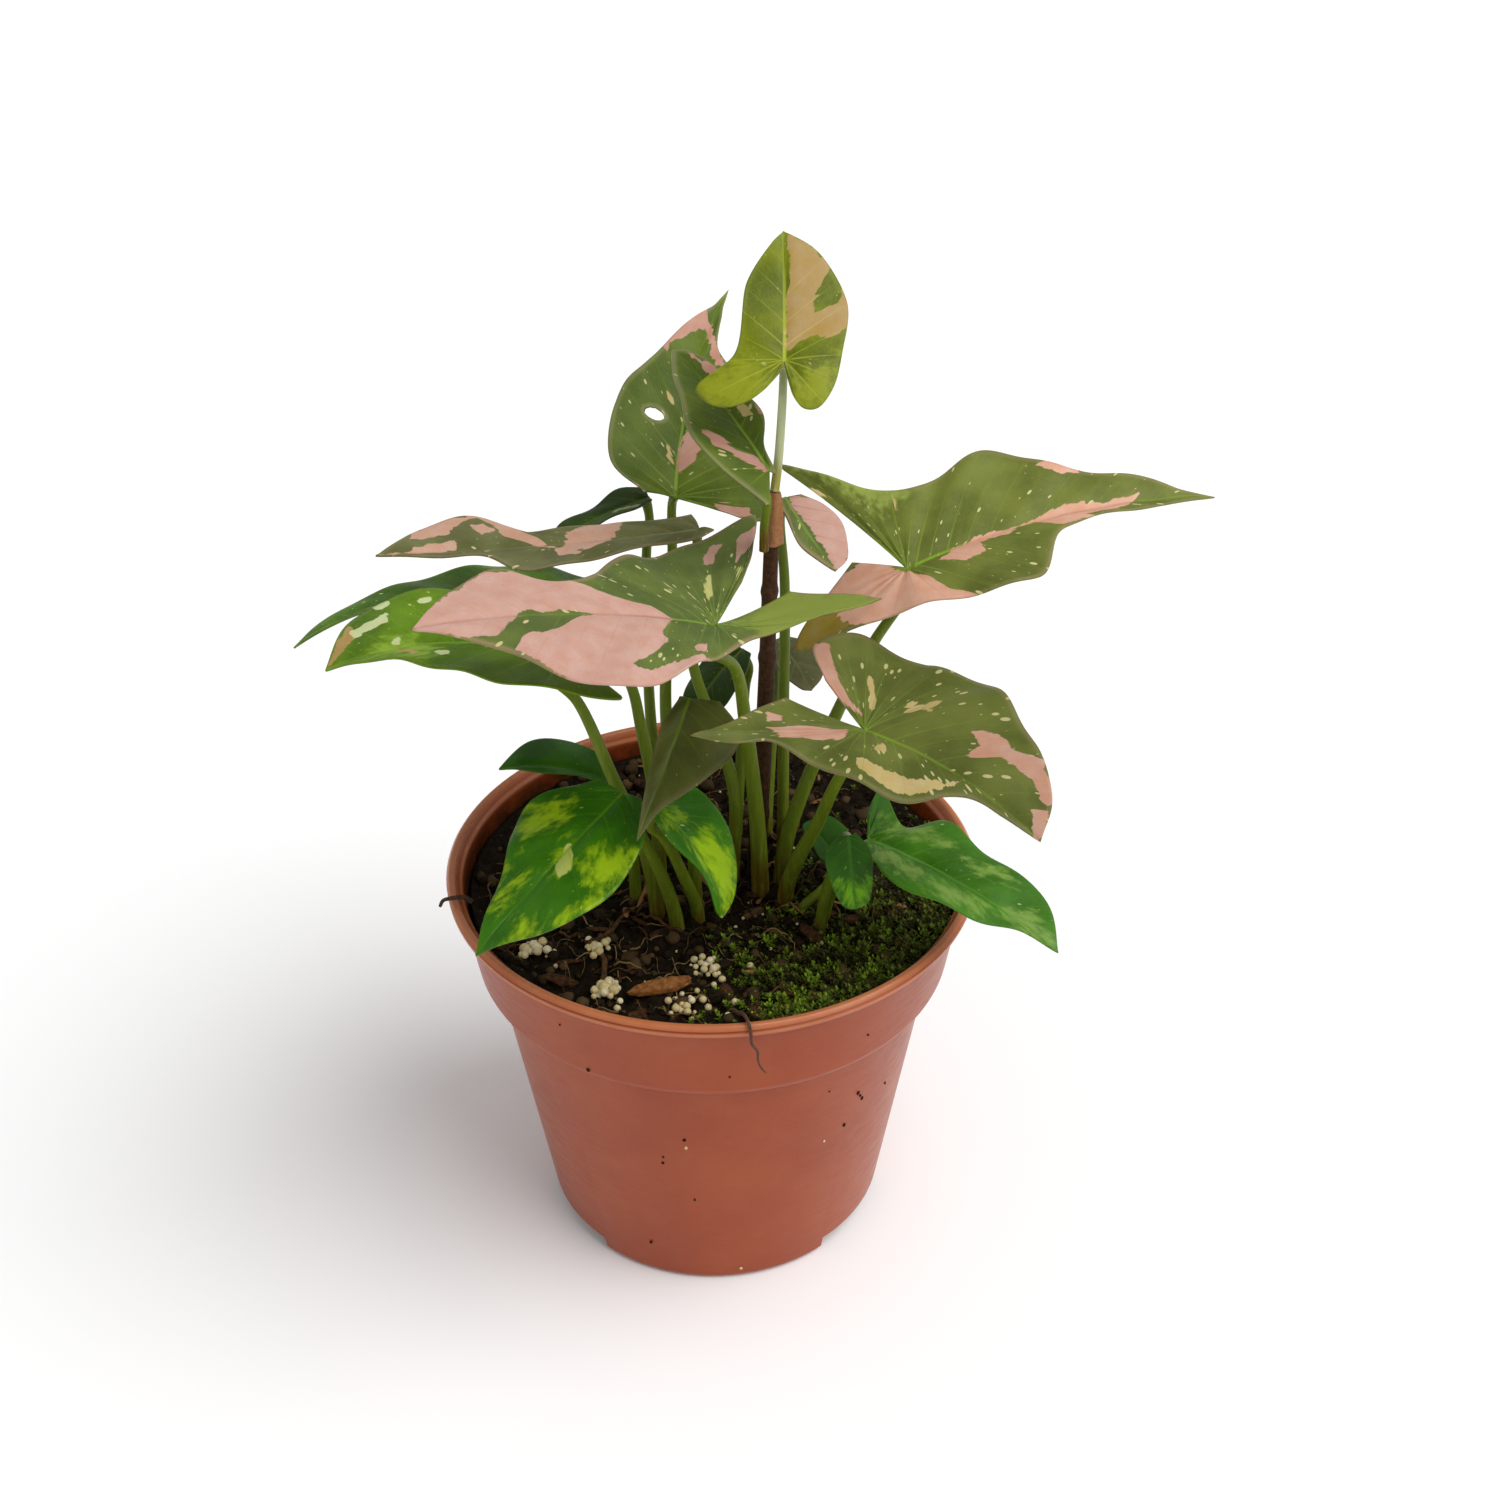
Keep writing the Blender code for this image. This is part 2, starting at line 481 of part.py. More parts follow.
def blade_surface(leaf, spacing, rows):
    """Vertices and triangles of the blade's middle surface; both halves share the midrib."""
    vertices, triangles = [], []
    for side_name, side in (("left", 1), ("right", -1)):
        grid = vein_grid(leaf, side_name, spacing, rows)
        columns = grid.shape[1]
        flat = grid.reshape(-1, 2)
        places = leaf_points(leaf, flat[:, 0], flat[:, 1], side)
        share = np.repeat(np.linspace(0, 1, rows + 1), columns)
        column = np.tile(np.arange(columns), rows + 1)
        swing = np.sin(column * WAVE_TURN + side) * np.sin(math.pi * column / (columns - 1))
        places = places + np.outer(leaf["wave"] * share ** 2 * swing, leaf_frame(leaf)[2])
        base = len(vertices)
        vertices.extend(places)
        for row in range(rows):
            for step in range(columns - 1):
                a = base + row * columns + step
                b, c, d = a + 1, a + columns + 1, a + columns
                quad = [(a, d, c), (a, c, b)] if side > 0 else [(a, c, d), (a, b, c)]
                triangles.extend(quad)
    return np.array(vertices), triangles


def merge_points(vertices, triangles, tolerance=0.02):
    """Welds the points that fall together at the tip, the joint and the midrib."""
    kept, index_of, key_of = [], [], {}
    for vertex in vertices:
        key = tuple(np.round(vertex / tolerance).astype(int))
        if key not in key_of:
            key_of[key] = len(kept)
            kept.append(vertex)
        index_of.append(key_of[key])
    welded = [tuple(index_of[corner] for corner in triangle) for triangle in triangles]
    return np.array(kept), [triangle for triangle in welded if len(set(triangle)) == 3]


def thicken(vertices, triangles, thickness):
    """Closes a sheet of triangles into a blade whose two faces are split alike."""
    normals = np.zeros_like(vertices)
    for a, b, c in triangles:
        normal = np.cross(vertices[b] - vertices[a], vertices[c] - vertices[a])
        for corner in (a, b, c):
            normals[corner] += normal
    normals /= np.maximum(np.linalg.norm(normals, axis=1), 1e-9)[:, None]
    count = len(vertices)
    upper = vertices + normals * thickness / 2
    lower = vertices - normals * thickness / 2
    edges = {}
    for triangle in triangles:
        for start, end in zip(triangle, triangle[1:] + triangle[:1]):
            edges[(start, end)] = True
    rim = [edge for edge in edges if (edge[1], edge[0]) not in edges]
    faces = list(triangles) + [(a + count, c + count, b + count) for a, b, c in triangles]
    for start, end in rim:
        faces.append((start, start + count, end + count))
        faces.append((start, end + count, end))
    return np.vstack([upper, lower]), faces


def make_leaf(name, leaf, finish):
    """One leaf: the blade with its petiole, in one closed body."""
    sheet = merge_points(*blade_surface(leaf, VEIN_SPACING, BLADE_ROWS))
    blade = add_object("leaf_" + name, *thicken(*sheet, BLADE_THICKNESS), finish)
    joint = np.array(leaf["joint"], dtype=float)
    along, _, up = leaf_frame(leaf)
    seat = joint + along * SEAT_OFFSET
    route = [tuple(point) for point in leaf["petiole"]]
    route += [tuple(seat - up * PETIOLE_NECK), tuple(seat + up * (BLADE_THICKNESS / 2 + 0.2))]
    radii = (leaf["foot_radius"], PETIOLE_TOP_RADIUS)
    petiole = tube("petiole_" + name, route, radii, PETIOLE_SIDES, finish)
    join_boolean(blade, [petiole], "UNION")
    return blade


def add_pot(finish):
    """The thin pot: rolled lip, wide collar, tapered body and a floor raised between feet."""
    lip_foot = POT_HEIGHT - LIP_DEPTH
    lip_base = POT_RIM_RADIUS - LIP_REACH
    outside = [
        (0, 0), (HUB_RADIUS, 0), (HUB_RADIUS + 1.4, RECESS_HEIGHT),
        (FOOT_RING_INNER_RADIUS - 0.6, RECESS_HEIGHT), (FOOT_RING_INNER_RADIUS, 0),
        (BODY_FOOT_RADIUS - EDGE_ROUND, 0), (BODY_FOOT_RADIUS, EDGE_ROUND),
        (BODY_TOP_RADIUS, COLLAR_FOOT_HEIGHT - SHOULDER_HEIGHT),
        (COLLAR_FOOT_RADIUS - 0.6, COLLAR_FOOT_HEIGHT - 0.6),
        (COLLAR_FOOT_RADIUS, COLLAR_FOOT_HEIGHT + 0.6), (COLLAR_TOP_RADIUS, lip_foot),
        (lip_base + 2.0, lip_foot + 0.2), (POT_RIM_RADIUS, lip_foot + 1.3),
        (POT_RIM_RADIUS, POT_HEIGHT - EDGE_ROUND), (POT_RIM_RADIUS - 0.9, POT_HEIGHT),
    ]
    inside = [
        (POT_RIM_RADIUS - 2.6, POT_HEIGHT), (COLLAR_TOP_RADIUS - POT_WALL, COLLAR_INSIDE_TOP),
        (COLLAR_FOOT_RADIUS - POT_WALL, COLLAR_FOOT_HEIGHT),
        (BODY_TOP_RADIUS - POT_WALL, COLLAR_FOOT_HEIGHT - SHOULDER_HEIGHT),
        (BODY_FOOT_RADIUS - POT_WALL, FLOOR_TOP), (0, FLOOR_TOP),
    ]
    pot = lathe("pot", outside + inside, POT_SIDES, finish)
    cutters = [notch_cutter(number, angle, finish) for number, angle in enumerate(NOTCH_ANGLES)]
    for number, angle in enumerate(NOTCH_ANGLES):
        turn = math.radians(angle)
        middle = ((HUB_RADIUS + FOOT_RING_INNER_RADIUS) / 2 * math.cos(turn),
                  (HUB_RADIUS + FOOT_RING_INNER_RADIUS) / 2 * math.sin(turn))
        route = [(*middle, RECESS_HEIGHT - 2), (*middle, FLOOR_TOP + 2)]
        radii = (DRAIN_RADIUS, DRAIN_RADIUS)
        cutters.append(tube(f"drain_cutter_{number}", route, radii, DRAIN_SIDES, finish))
    join_boolean(pot, cutters, "DIFFERENCE")
    pot.data.shade_smooth()
    pot.data.set_sharp_from_angle(angle=math.radians(SHARP_ANGLE))
    return pot


def notch_cutter(number, angle, finish):
    """A wedge that opens the foot ring over one notch."""
    bottom, top = -1.0, NOTCH_HEIGHT
    inner, outer = FOOT_RING_INNER_RADIUS - 3.0, BODY_FOOT_RADIUS + 4.0
    steps = 6
    angles = [math.radians(angle + NOTCH_WIDTH_ANGLE * (step / steps - 0.5)) for step in range(steps + 1)]
    outline = [(inner * math.cos(a), inner * math.sin(a)) for a in angles]
    outline += [(outer * math.cos(a), outer * math.sin(a)) for a in reversed(angles)]
    count = len(outline)
    vertices = [(x, y, height) for height in (bottom, top) for x, y in outline]
    faces = [list(range(count))[::-1], list(range(count, 2 * count))]
    for side in range(count):
        following = (side + 1) % count
        faces.append([side, following, following + count, side + count])
    return add_object(f"notch_cutter_{number}", vertices, faces, finish)


def soil_edge():
    """Radius of the soil where its top meets the collar."""
    height = SOIL_CENTRE_HEIGHT - SOIL_EDGE_DROP
    share = (height - COLLAR_FOOT_HEIGHT) / (COLLAR_INSIDE_TOP - COLLAR_FOOT_HEIGHT)
    return COLLAR_FOOT_RADIUS + (COLLAR_TOP_RADIUS - COLLAR_FOOT_RADIUS) * share - POT_WALL - GAP


def soil_height(x, y):
    """Height of the lumpy top of the soil."""
    distance = math.hypot(x, y) / soil_edge()
    lumps = noise.noise(Vector((x, y, 7.0)) / SOIL_LUMP_SIZE)
    return SOIL_CENTRE_HEIGHT - SOIL_EDGE_DROP * distance ** 4 + SOIL_LUMP * lumps * (1 - distance ** 6)


def ring_points(radius, height=None):
    points = []
    for side in range(SOIL_SIDES):
        angle = 2 * math.pi * side / SOIL_SIDES
        x, y = radius * math.cos(angle), radius * math.sin(angle)
        points.append((x, y, soil_height(x, y) if height is None else height))
    return points


def stem_feet():
    """Middle and radius of every hole that a stem needs in the soil."""
    feet = [(STEM_ROUTE[0][0], STEM_ROUTE[0][1], STEM_RADII[0])]
    for leaf in LEAVES.values():
        x, y, z = leaf["petiole"][0]
        if z == FOOT_BOTTOM:
            feet.append((x, y, leaf["foot_radius"]))
    return feet


def add_soil(finish):
    """The peat: filled to the collar, with a plain hole for each stem."""
    edge = soil_edge()
    profile = [
        (BODY_FOOT_RADIUS - POT_WALL - GAP, FLOOR_TOP + GAP),
        (BODY_TOP_RADIUS - POT_WALL - GAP, COLLAR_FOOT_HEIGHT - SHOULDER_HEIGHT),
        (COLLAR_FOOT_RADIUS - POT_WALL - GAP, COLLAR_FOOT_HEIGHT + 0.4),
    ]
    rings = [ring_points(radius, height) for radius, height in profile]
    rings += [ring_points(radius) for radius in (edge,) + SOIL_RINGS[::-1]]
    vertices = [point for ring in rings for point in ring]
    vertices.append((0, 0, FLOOR_TOP + GAP))
    vertices.append((0, 0, soil_height(0, 0)))
    faces = []
    for ring in range(len(rings) - 1):
        for side in range(SOIL_SIDES):
            following = (side + 1) % SOIL_SIDES
            a, b = ring * SOIL_SIDES + side, ring * SOIL_SIDES + following
            c, d = b + SOIL_SIDES, a + SOIL_SIDES
            faces.extend([(a, b, c), (a, c, d)])
    last = (len(rings) - 1) * SOIL_SIDES
    for side in range(SOIL_SIDES):
        following = (side + 1) % SOIL_SIDES
        faces.append((following, side, len(vertices) - 2))
        faces.append((last + side, last + following, len(vertices) - 1))
    soil = add_object("soil", vertices, faces, finish)
    drills = []
    for number, (x, y, radius) in enumerate(stem_feet()):
        route = [(x, y, HOLE_BOTTOM), (x, y, SOIL_CENTRE_HEIGHT + 6)]
        wide = radius / math.cos(math.pi / HOLE_SIDES) + HOLE_CLEARANCE
        drills.append(tube(f"drill_{number}", route, (wide, wide), HOLE_SIDES, finish))
    join_boolean(soil, drills, "DIFFERENCE")
    return soil


def add_moss(finish):
    """A mat of moss on the front right, laid on the soil's own facets."""
    columns = range(MOSS_FIRST_SIDE, MOSS_LAST_SIDE + 1)
    edge, last_ring = soil_edge(), SOIL_RINGS[-1]
    radii = SOIL_RINGS[MOSS_FIRST_RING:] + (edge - 1.0,)
    width, depth = len(columns), len(radii)
    lower, upper = [], []
    for row, radius in enumerate(radii):
        for column, side in enumerate(columns):
            angle = 2 * math.pi * side / SOIL_SIDES
            x, y = radius * math.cos(angle), radius * math.sin(angle)
            ground = soil_height(x, y)
            if row == depth - 1:
                share = (radius - last_ring) / (edge - last_ring)
                inner_height = soil_height(last_ring * math.cos(angle), last_ring * math.sin(angle))
                outer_height = soil_height(edge * math.cos(angle), edge * math.sin(angle))
                ground = inner_height + (outer_height - inner_height) * share
            inside = 0 < row < depth - 1 and 0 < column < width - 1
            tuft = 0.55 + 0.35 * noise.noise(Vector((x, y, 31.0)) / MOSS_TUFT_SIZE)
            height = MOSS_HEIGHT * (tuft + MOSS_BORDER if inside else MOSS_BORDER)
            lower.append((x, y, ground + GAP))
            upper.append((x, y, ground + GAP + height))
    count = len(lower)
    faces = []
    for row in range(depth - 1):
        for column in range(width - 1):
            a = row * width + column
            b, c, d = a + 1, a + width + 1, a + width
            faces.extend([(a, d, b), (b, d, c)])
            faces.extend([(a + count, b + count, d + count), (b + count, c + count, d + count)])
    border = list(range(width))
    border += [row * width + width - 1 for row in range(1, depth)]
    border += [(depth - 1) * width + column for column in range(width - 2, -1, -1)]
    border += [row * width for row in range(depth - 2, 0, -1)]
    for start, end in zip(border, border[1:] + border[:1]):
        faces.append((start, end, end + count, start + count))
    return add_object("moss", lower + upper, faces, finish)


def add_granules(name, heap, finish, seed):
    """A heap of fertiliser grains: one grain in the middle and the others round it."""
    random = np.random.default_rng(seed)
    gathered = bpy.data.collections.new(name)
    middle_x, middle_y = heap["middle"]
    grains = []
    for number in range(heap["grains"]):
        turn = GRAIN_TURN * number + random.uniform(-0.2, 0.2)
        reach = heap["spread"] * (number / heap["grains"]) ** 0.5
        x, y = middle_x + reach * math.cos(turn), middle_y + reach * math.sin(turn)
        radius = GRANULE_RADIUS * random.uniform(0.9, 1.1)
        ground = soil_height(x, y) + GAP + 0.5
        work = bmesh.new()
        bmesh.ops.create_icosphere(work, subdivisions=1, radius=radius)
        vertices = []
        for vertex in work.verts:
            height = max(ground + radius * 0.8 + vertex.co.z, ground)
            vertices.append((vertex.co.x + x, vertex.co.y + y, height))
        faces = [[corner.index for corner in face.verts] for face in work.faces]
        work.free()
        grains.append(add_object(f"{name}_{number}", vertices, faces, finish))
    heap_object = grains[0]
    heap_object.name = name
    for grain in grains[1:]:
        gathered.objects.link(grain)
    union = heap_object.modifiers.new("Union", "BOOLEAN")
    union.operation = "UNION"
    union.operand_type = "COLLECTION"
    union.collection = gathered
    bpy.context.view_layer.update()
    graph = bpy.context.evaluated_depsgraph_get()
    joined = bpy.data.meshes.new_from_object(heap_object.evaluated_get(graph))
    heap_object.modifiers.clear()
    heap_object.data = joined
    weld_slivers(joined)
    for grain in grains[1:]:
        bpy.data.objects.remove(grain)
    bpy.data.collections.remove(gathered)
    return heap_object


def add_chip(finish):
    """A torn chip of bark, lying on the front of the soil."""
    half_length, half_width, half_height = CHIP_SIZE
    outline = [(-1.0, -0.1), (-0.55, -0.9), (0.45, -1.0), (1.0, -0.25),
               (0.7, 0.8), (-0.3, 1.0), (-0.85, 0.6)]
    turn = math.radians(CHIP_TURN)
    ground = soil_height(*CHIP_MIDDLE) + GAP + 0.5
    lower, upper = [], []
    for along, across in outline:
        for ring, scale, height in ((lower, 0.9, 0.0), (upper, 1.0, 2 * half_height)):
            x, y = along * half_length * scale, across * half_width * scale
            ring.append((CHIP_MIDDLE[0] + x * math.cos(turn) - y * math.sin(turn),
                         CHIP_MIDDLE[1] + x * math.sin(turn) + y * math.cos(turn),
                         ground + height + 0.3 * along * (height > 0)))
    count = len(outline)
    faces = [list(range(count))[::-1]]
    top = len(lower) + len(upper)
    for side in range(count):
        following = (side + 1) % count
        faces.append([side, following, following + count, side + count])
        faces.append([side + count, following + count, top])
    crown = (CHIP_MIDDLE[0], CHIP_MIDDLE[1], ground + 2 * half_height + 0.4)
    return add_object("bark_chip", lower + upper + [crown], faces, finish, smooth=False)


def add_trim(root_finish, twig_finish):
    """A fine root that hangs over the front of the rim, and a scrap at the rim's left."""
    clear = GAP + ROOT_HAIR_RADIUS + 0.1
    rim, over = POT_RIM_RADIUS + clear, POT_HEIGHT + clear
    root = []
    for radius, angle, height in (
            (50.5, -84, over - 3.4), (54, -83, over - 1.6), (rim - 3.6, -82.3, over),
            (rim - 1.0, -81.8, over), (rim, -81.5, POT_HEIGHT - EDGE_ROUND),
            (rim, -80.3, POT_HEIGHT - 7), (rim - 1.2, -79, POT_HEIGHT - 13)):
        turn = math.radians(angle)
        root.append((radius * math.cos(turn), radius * math.sin(turn), height))
    tube("root_hair", root, (ROOT_HAIR_RADIUS, ROOT_HAIR_RADIUS), TRIM_SIDES, root_finish, step=TRIM_STEP)
    turn = math.radians(TWIG_ANGLE)
    radial = np.array([math.cos(turn), math.sin(turn)])
    twig_clear = POT_HEIGHT + TWIG_RADIUS + GAP
    inner = radial * (COLLAR_TOP_RADIUS - 5)
    outer = radial * (POT_RIM_RADIUS + 2.2)
    twig = [(*inner, twig_clear - 2.6), (*(radial * (COLLAR_TOP_RADIUS - 2.6)), twig_clear - 0.4),
            (*(radial * POT_RIM_RADIUS), twig_clear + 0.3), (*outer, twig_clear + 1.4)]
    tube("rim_twig", twig, (TWIG_RADIUS, TWIG_RADIUS * 0.6), TRIM_SIDES, twig_finish, step=TRIM_STEP)


def clear_scene():
    for existing in list(bpy.data.objects):
        bpy.data.objects.remove(existing)


def build():
    clear_scene()
    add_pot(material("Terracotta plastic", (0.42, 0.145, 0.075), roughness=0.45))
    add_soil(material("Peat", (0.018, 0.012, 0.008), roughness=0.95))
    add_moss(material("Moss", (0.075, 0.105, 0.014), roughness=0.9))
    stem_finish = material("Woody stem", (0.055, 0.02, 0.01), roughness=0.6)
    sheath_finish = material("Pink sheath", (0.33, 0.15, 0.09), roughness=0.5)
    tube("stem", STEM_ROUTE, STEM_RADII, STEM_SIDES, stem_finish)
    tube("stem_sheath", SHEATH_ROUTE, SHEATH_RADII, STEM_SIDES, sheath_finish, step=4)
    green = material("Leaf", (0.09, 0.17, 0.025), roughness=0.4)
    pink = material("Pink leaf", (0.62, 0.33, 0.24), roughness=0.45)
    for name, leaf in LEAVES.items():
        make_leaf(name, leaf, pink if name in ("front_pink", "small_pink") else green)
    grain = material("Fertiliser grains", (0.66, 0.53, 0.3), roughness=0.8)
    for seed, (name, heap) in enumerate(GRANULE_HEAPS.items()):
        add_granules(name, heap, grain, seed)
    add_chip(material("Bark", (0.24, 0.08, 0.025), roughness=0.85))
    root_finish = material("Root", (0.3, 0.2, 0.12), roughness=0.8)
    add_trim(root_finish, material("Dry scrap", (0.2, 0.13, 0.08), roughness=0.9))


build()
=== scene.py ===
"""Looks of the potted syngonium: fine leaves, stems, pot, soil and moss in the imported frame.

Lengths are in millimetres and angles in degrees, and MM turns millimetres to Blender's metres.
The origin lies on the pot's axis, on the surface the pot stands on. +Z is up, and the
front of the plant faces -Y, so +X is on the right.
"""
import math
from functools import partial

import bmesh
import bpy
import numpy as np
from mathutils import Matrix, Vector, noise


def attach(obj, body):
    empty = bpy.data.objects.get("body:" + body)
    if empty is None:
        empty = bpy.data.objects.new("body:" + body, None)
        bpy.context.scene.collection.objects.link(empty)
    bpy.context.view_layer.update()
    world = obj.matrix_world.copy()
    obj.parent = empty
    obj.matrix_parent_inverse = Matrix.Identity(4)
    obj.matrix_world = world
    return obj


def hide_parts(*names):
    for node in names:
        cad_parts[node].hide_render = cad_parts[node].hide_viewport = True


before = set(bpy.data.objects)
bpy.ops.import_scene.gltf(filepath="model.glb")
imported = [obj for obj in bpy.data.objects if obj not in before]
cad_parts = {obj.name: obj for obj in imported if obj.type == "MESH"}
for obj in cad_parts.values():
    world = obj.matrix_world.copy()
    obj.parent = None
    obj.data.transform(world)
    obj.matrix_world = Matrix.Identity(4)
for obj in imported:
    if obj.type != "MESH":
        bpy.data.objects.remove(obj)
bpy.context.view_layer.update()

MM = 0.001
FULL_TURN = 2 * math.pi

# Pot, as in the model
POT_RIM_RADIUS = 59.3
POT_HEIGHT = 93.0
POT_WALL = 1.2
LIP_DEPTH = 4.0
LIP_REACH = 2.5
COLLAR_INSIDE_TOP = POT_HEIGHT - 1.4
COLLAR_TOP_RADIUS = 56.8
COLLAR_FOOT_RADIUS = 53.8
COLLAR_FOOT_HEIGHT = 70.5
SHOULDER_FOOT = COLLAR_FOOT_HEIGHT - 2.0
BODY_TOP_RADIUS = 50.0
BODY_FOOT_RADIUS = 39.3
FLOOR_TOP = 6.2
RECESS_HEIGHT = 4.6
FOOT_RING_INNER_RADIUS = 34.0
HUB_RADIUS = 13.0
NOTCH_HEIGHT = 4.5
NOTCH_WIDTH_ANGLE = 40.0
NOTCH_ANGLES = (-150.0, -30.0, 90.0)
DRAIN_RADIUS = 3.2
EDGE_ROUND = 1.2
POT_SIDES = 160

# Soil and moss
SOIL_CENTRE_HEIGHT = 86.0
SOIL_EDGE_DROP = 1.6
SOIL_LUMP = 0.9
SOIL_LUMP_SIZE = 9.0
GAP = 0.3                      # between the soil and the pot, and under what lies on the soil
SOIL_RINGS, SOIL_SIDES = 72, 260
MOSS_ANGLES = (-80.0, 10.0)
MOSS_SHOOTS = 3000
SPRIG_SHARE = 0.15             # of the moss shoots, the taller and looser ones
CRUMBS, FIBRES, SLIVERS, SMALL_BEADS = 1500, 210, 170, 60

# Stems
FOOT_BOTTOM = 77.0             # lower end of every stem, in its hole in the soil
STEM_ROUTE = [(10, 3.5, FOOT_BOTTOM), (10, 3.5, 88), (11, 4, 110), (12, 4, 134),
              (12.5, 4, 151), (13, 4, 169.5)]
STEM_RADII = (2.9, 2.0)
STEM_SLIMMER = 0.77            # radius of the bark as a share of the plain model's stem
KNOTS = (0.13, 0.3, 0.49, 0.7, 0.88)
SHEATH_ROUTE = [(13, 4, 169.8), (13.3, 4, 175), (13.7, 4.2, 181)]
SHEATH_RADII = (2.5, 1.7)
PETIOLE_TOP = 1.0              # radius of a full-grown leaf's petiole below the blade
PETIOLE_NECK = 5.0             # last stretch, square to the blade
SEAT_OFFSET = 0.8              # the petiole meets the midrib this far in front of the notch
RIB_RADIUS = 0.65
RIB_SHARE = 0.8                # of the midrib's length, the part with a rib below it
RIB_TAPER = 0.85               # share of its radius that the rib loses up to its end
STALK_STEP = 1.6               # distance between the rings of a stalk

# Leaves
BLADE_THICKNESS = 0.45
VEIN_LEAN = 1.4                # above 1 the side veins leave the midrib early and lean to the tip
FAN_ANGLE = 60.0               # the vein at this angle to the midrib is the last in front of the joint
FAN_STEP = 1.5                 # least angle between two veins of the fan
VEIN_SPACING = 5.5
REFINE = 8                     # mesh columns from one side vein to the next
BLADE_ROWS = 24
MARGIN_POINTS = 961
WAVE_TURN = 1.9                # radians of the margin's wave from one vein to the next
HALF_WIDTH_SHARE = 0.4         # half width of a blade, for its cupping, as a share of its length
LOBE_SHARE = 0.3               # length of a back lobe, for its droop, as a share of the length
FULL_GROWN = 45.0              # a shorter blade has less relief, in step with its length
QUILT = 0.35                   # how far the blade swells between two main side veins
MIDRIB_DIP = 0.4
RUMPLE = 0.35
FAR = 99.0                     # stands for a place that is nowhere near
CLEAR = 9.0                    # stands for a place well clear of the midrib or of a coloured patch

# Loose pieces on the soil and the rim
GRANULE_RADIUS = 1.5
SPIRAL_TURN = 2.4              # radians from one grain of a heap, or leaf of a moss shoot, to the next
FIBRE_STEP = 1.2               # a root fibre changes its heading this often
HEAPS = {"granules_left": ((-37.5, -25.5), 6, 3.0), "granules_front_left": ((-22, -39), 6, 2.6),
         "granules_middle_left": ((-24, -26), 4, 2.2), "granules_middle": ((-1, -32), 7, 2.7),
         "granules_front": ((-4.5, -45), 5, 2.6)}   # middle, number of grains, spread
CHIP_MIDDLE = (-10.5, -39)
CHIP_SIZE = (6.5, 2.4, 1.3)    # half sizes
CHIP_TURN = 14.0
ROOT_HAIR_RADIUS = 0.35
TWIG_RADIUS = 0.55
TWIG_ANGLE = 197.0

# The view of the photo
VIEW_FROM = (9.9, -377.83, 364.23)
VIEW_TILT = 57.1               # from looking straight down
LENS, LENS_FRAME = 49.24, 36   # focal length, and width of the picture behind the lens


# The leaves. joint is where the petiole meets the blade, and lie is the midrib's heading, rise and roll
# there. turn is how far it has drooped, swayed and twisted by the tip. form is the fold that lifts the
# halves, how far their sides and their back lobes droop (mm), and the height of the margin's wave (mm).
# left and right are the margins from the tip round to the back, and light, pink, pale and brown the coloured
# patches, both in mm along the midrib from the joint and out to the side (a patch: left is +). The light
# patches of front_pink and left_lower are painted light and painted sheen.
# petiole is its route from the soil, or from the sheath, and radii are those of its foot and its top.
# window is an oval hole: its middle, half sizes and lean. tone, and left_tone for a left half alone, is
# painted light and shade: it makes the leaf lighter or darker for how brightly it is lit, as well as for its
# own colour.
LEAVES = {}
LEAVES["crown"] = dict(
    joint=(15.5, 5, 209), lie=(89, 44, 2), length=28,
    turn=(2, 2, 3), form=(7, 1.5, 0, 0.4),
    left=[(25, 2.5), (16.5, 7.5), (1, 10), (-6, 17.5), (-9.6, 13.5), (-9.4, 8.5), (-6.2, 3.8), (-3, 1.2)],
    right=[(23, 7), (12.5, 12.5), (2.5, 11.5), (-6, 9.5), (-10, 6.5), (-10, 3.8), (-7.5, 1.8), (-4, 0.8)],
    petiole=[(13.7, 4.2, 181.4), (14.4, 4.7, 188), (15.1, 4.6, 200)],
    radii=(0.95, 0.8), look="young",
    light=[[(2, 8), (-6, 19), (-11, 14), (-11, 8), (-6, 2), (-2, 4)],
           [(2, -11), (-6, -11), (-11, -6), (-9, -1), (-3, -2)]],
    pink=[[(27, -1), (24, -6), (20, -9), (16, -7), (12, -5), (14, -7), (11, -5), (10, -6), (12, -11),
           (16, -12), (12, -14), (8, -13), (5, -9), (4, -3), (2, 0), (15, -1)]],
    pale=[[(-1, -5), (-2, -6), (-3, -8), (-2, -7)], [(1, 7), (0, 6), (-1, 4), (0, 6)]])
LEAVES["upper_middle"] = dict(
    joint=(12.5, 0.5, 187.5), lie=(124, 31, 4), length=37,
    turn=(15, 3, -1), form=(12, 1.5, 1, 0.5),
    left=[(32.5, 3.5), (21, 9.5), (8.5, 13), (-8, 5), (-3.5, 5)],
    right=[(34.5, 2.5), (13, 6), (6, 2.2), (0, 1.2), (-1.5, 0.8)],
    petiole=[(11.5, 0.2, 169.8), (11.6, -0.2, 176), (12.1, -0.5, 182)],
    radii=(1.0, 0.8), look="dusky",
    pink=[[(13, 10), (10, 7), (6, 5), (3, 1), (0, 0), (-1, 2), (2, 4), (5, 7), (8, 10)],
          [(34, -2), (30, -3), (26, -5), (27, -2)], [(16, -6), (12, -6), (13, -5)]],
    pale=[[(18, -2), (16, -4), (13, -4), (14, -2)]])
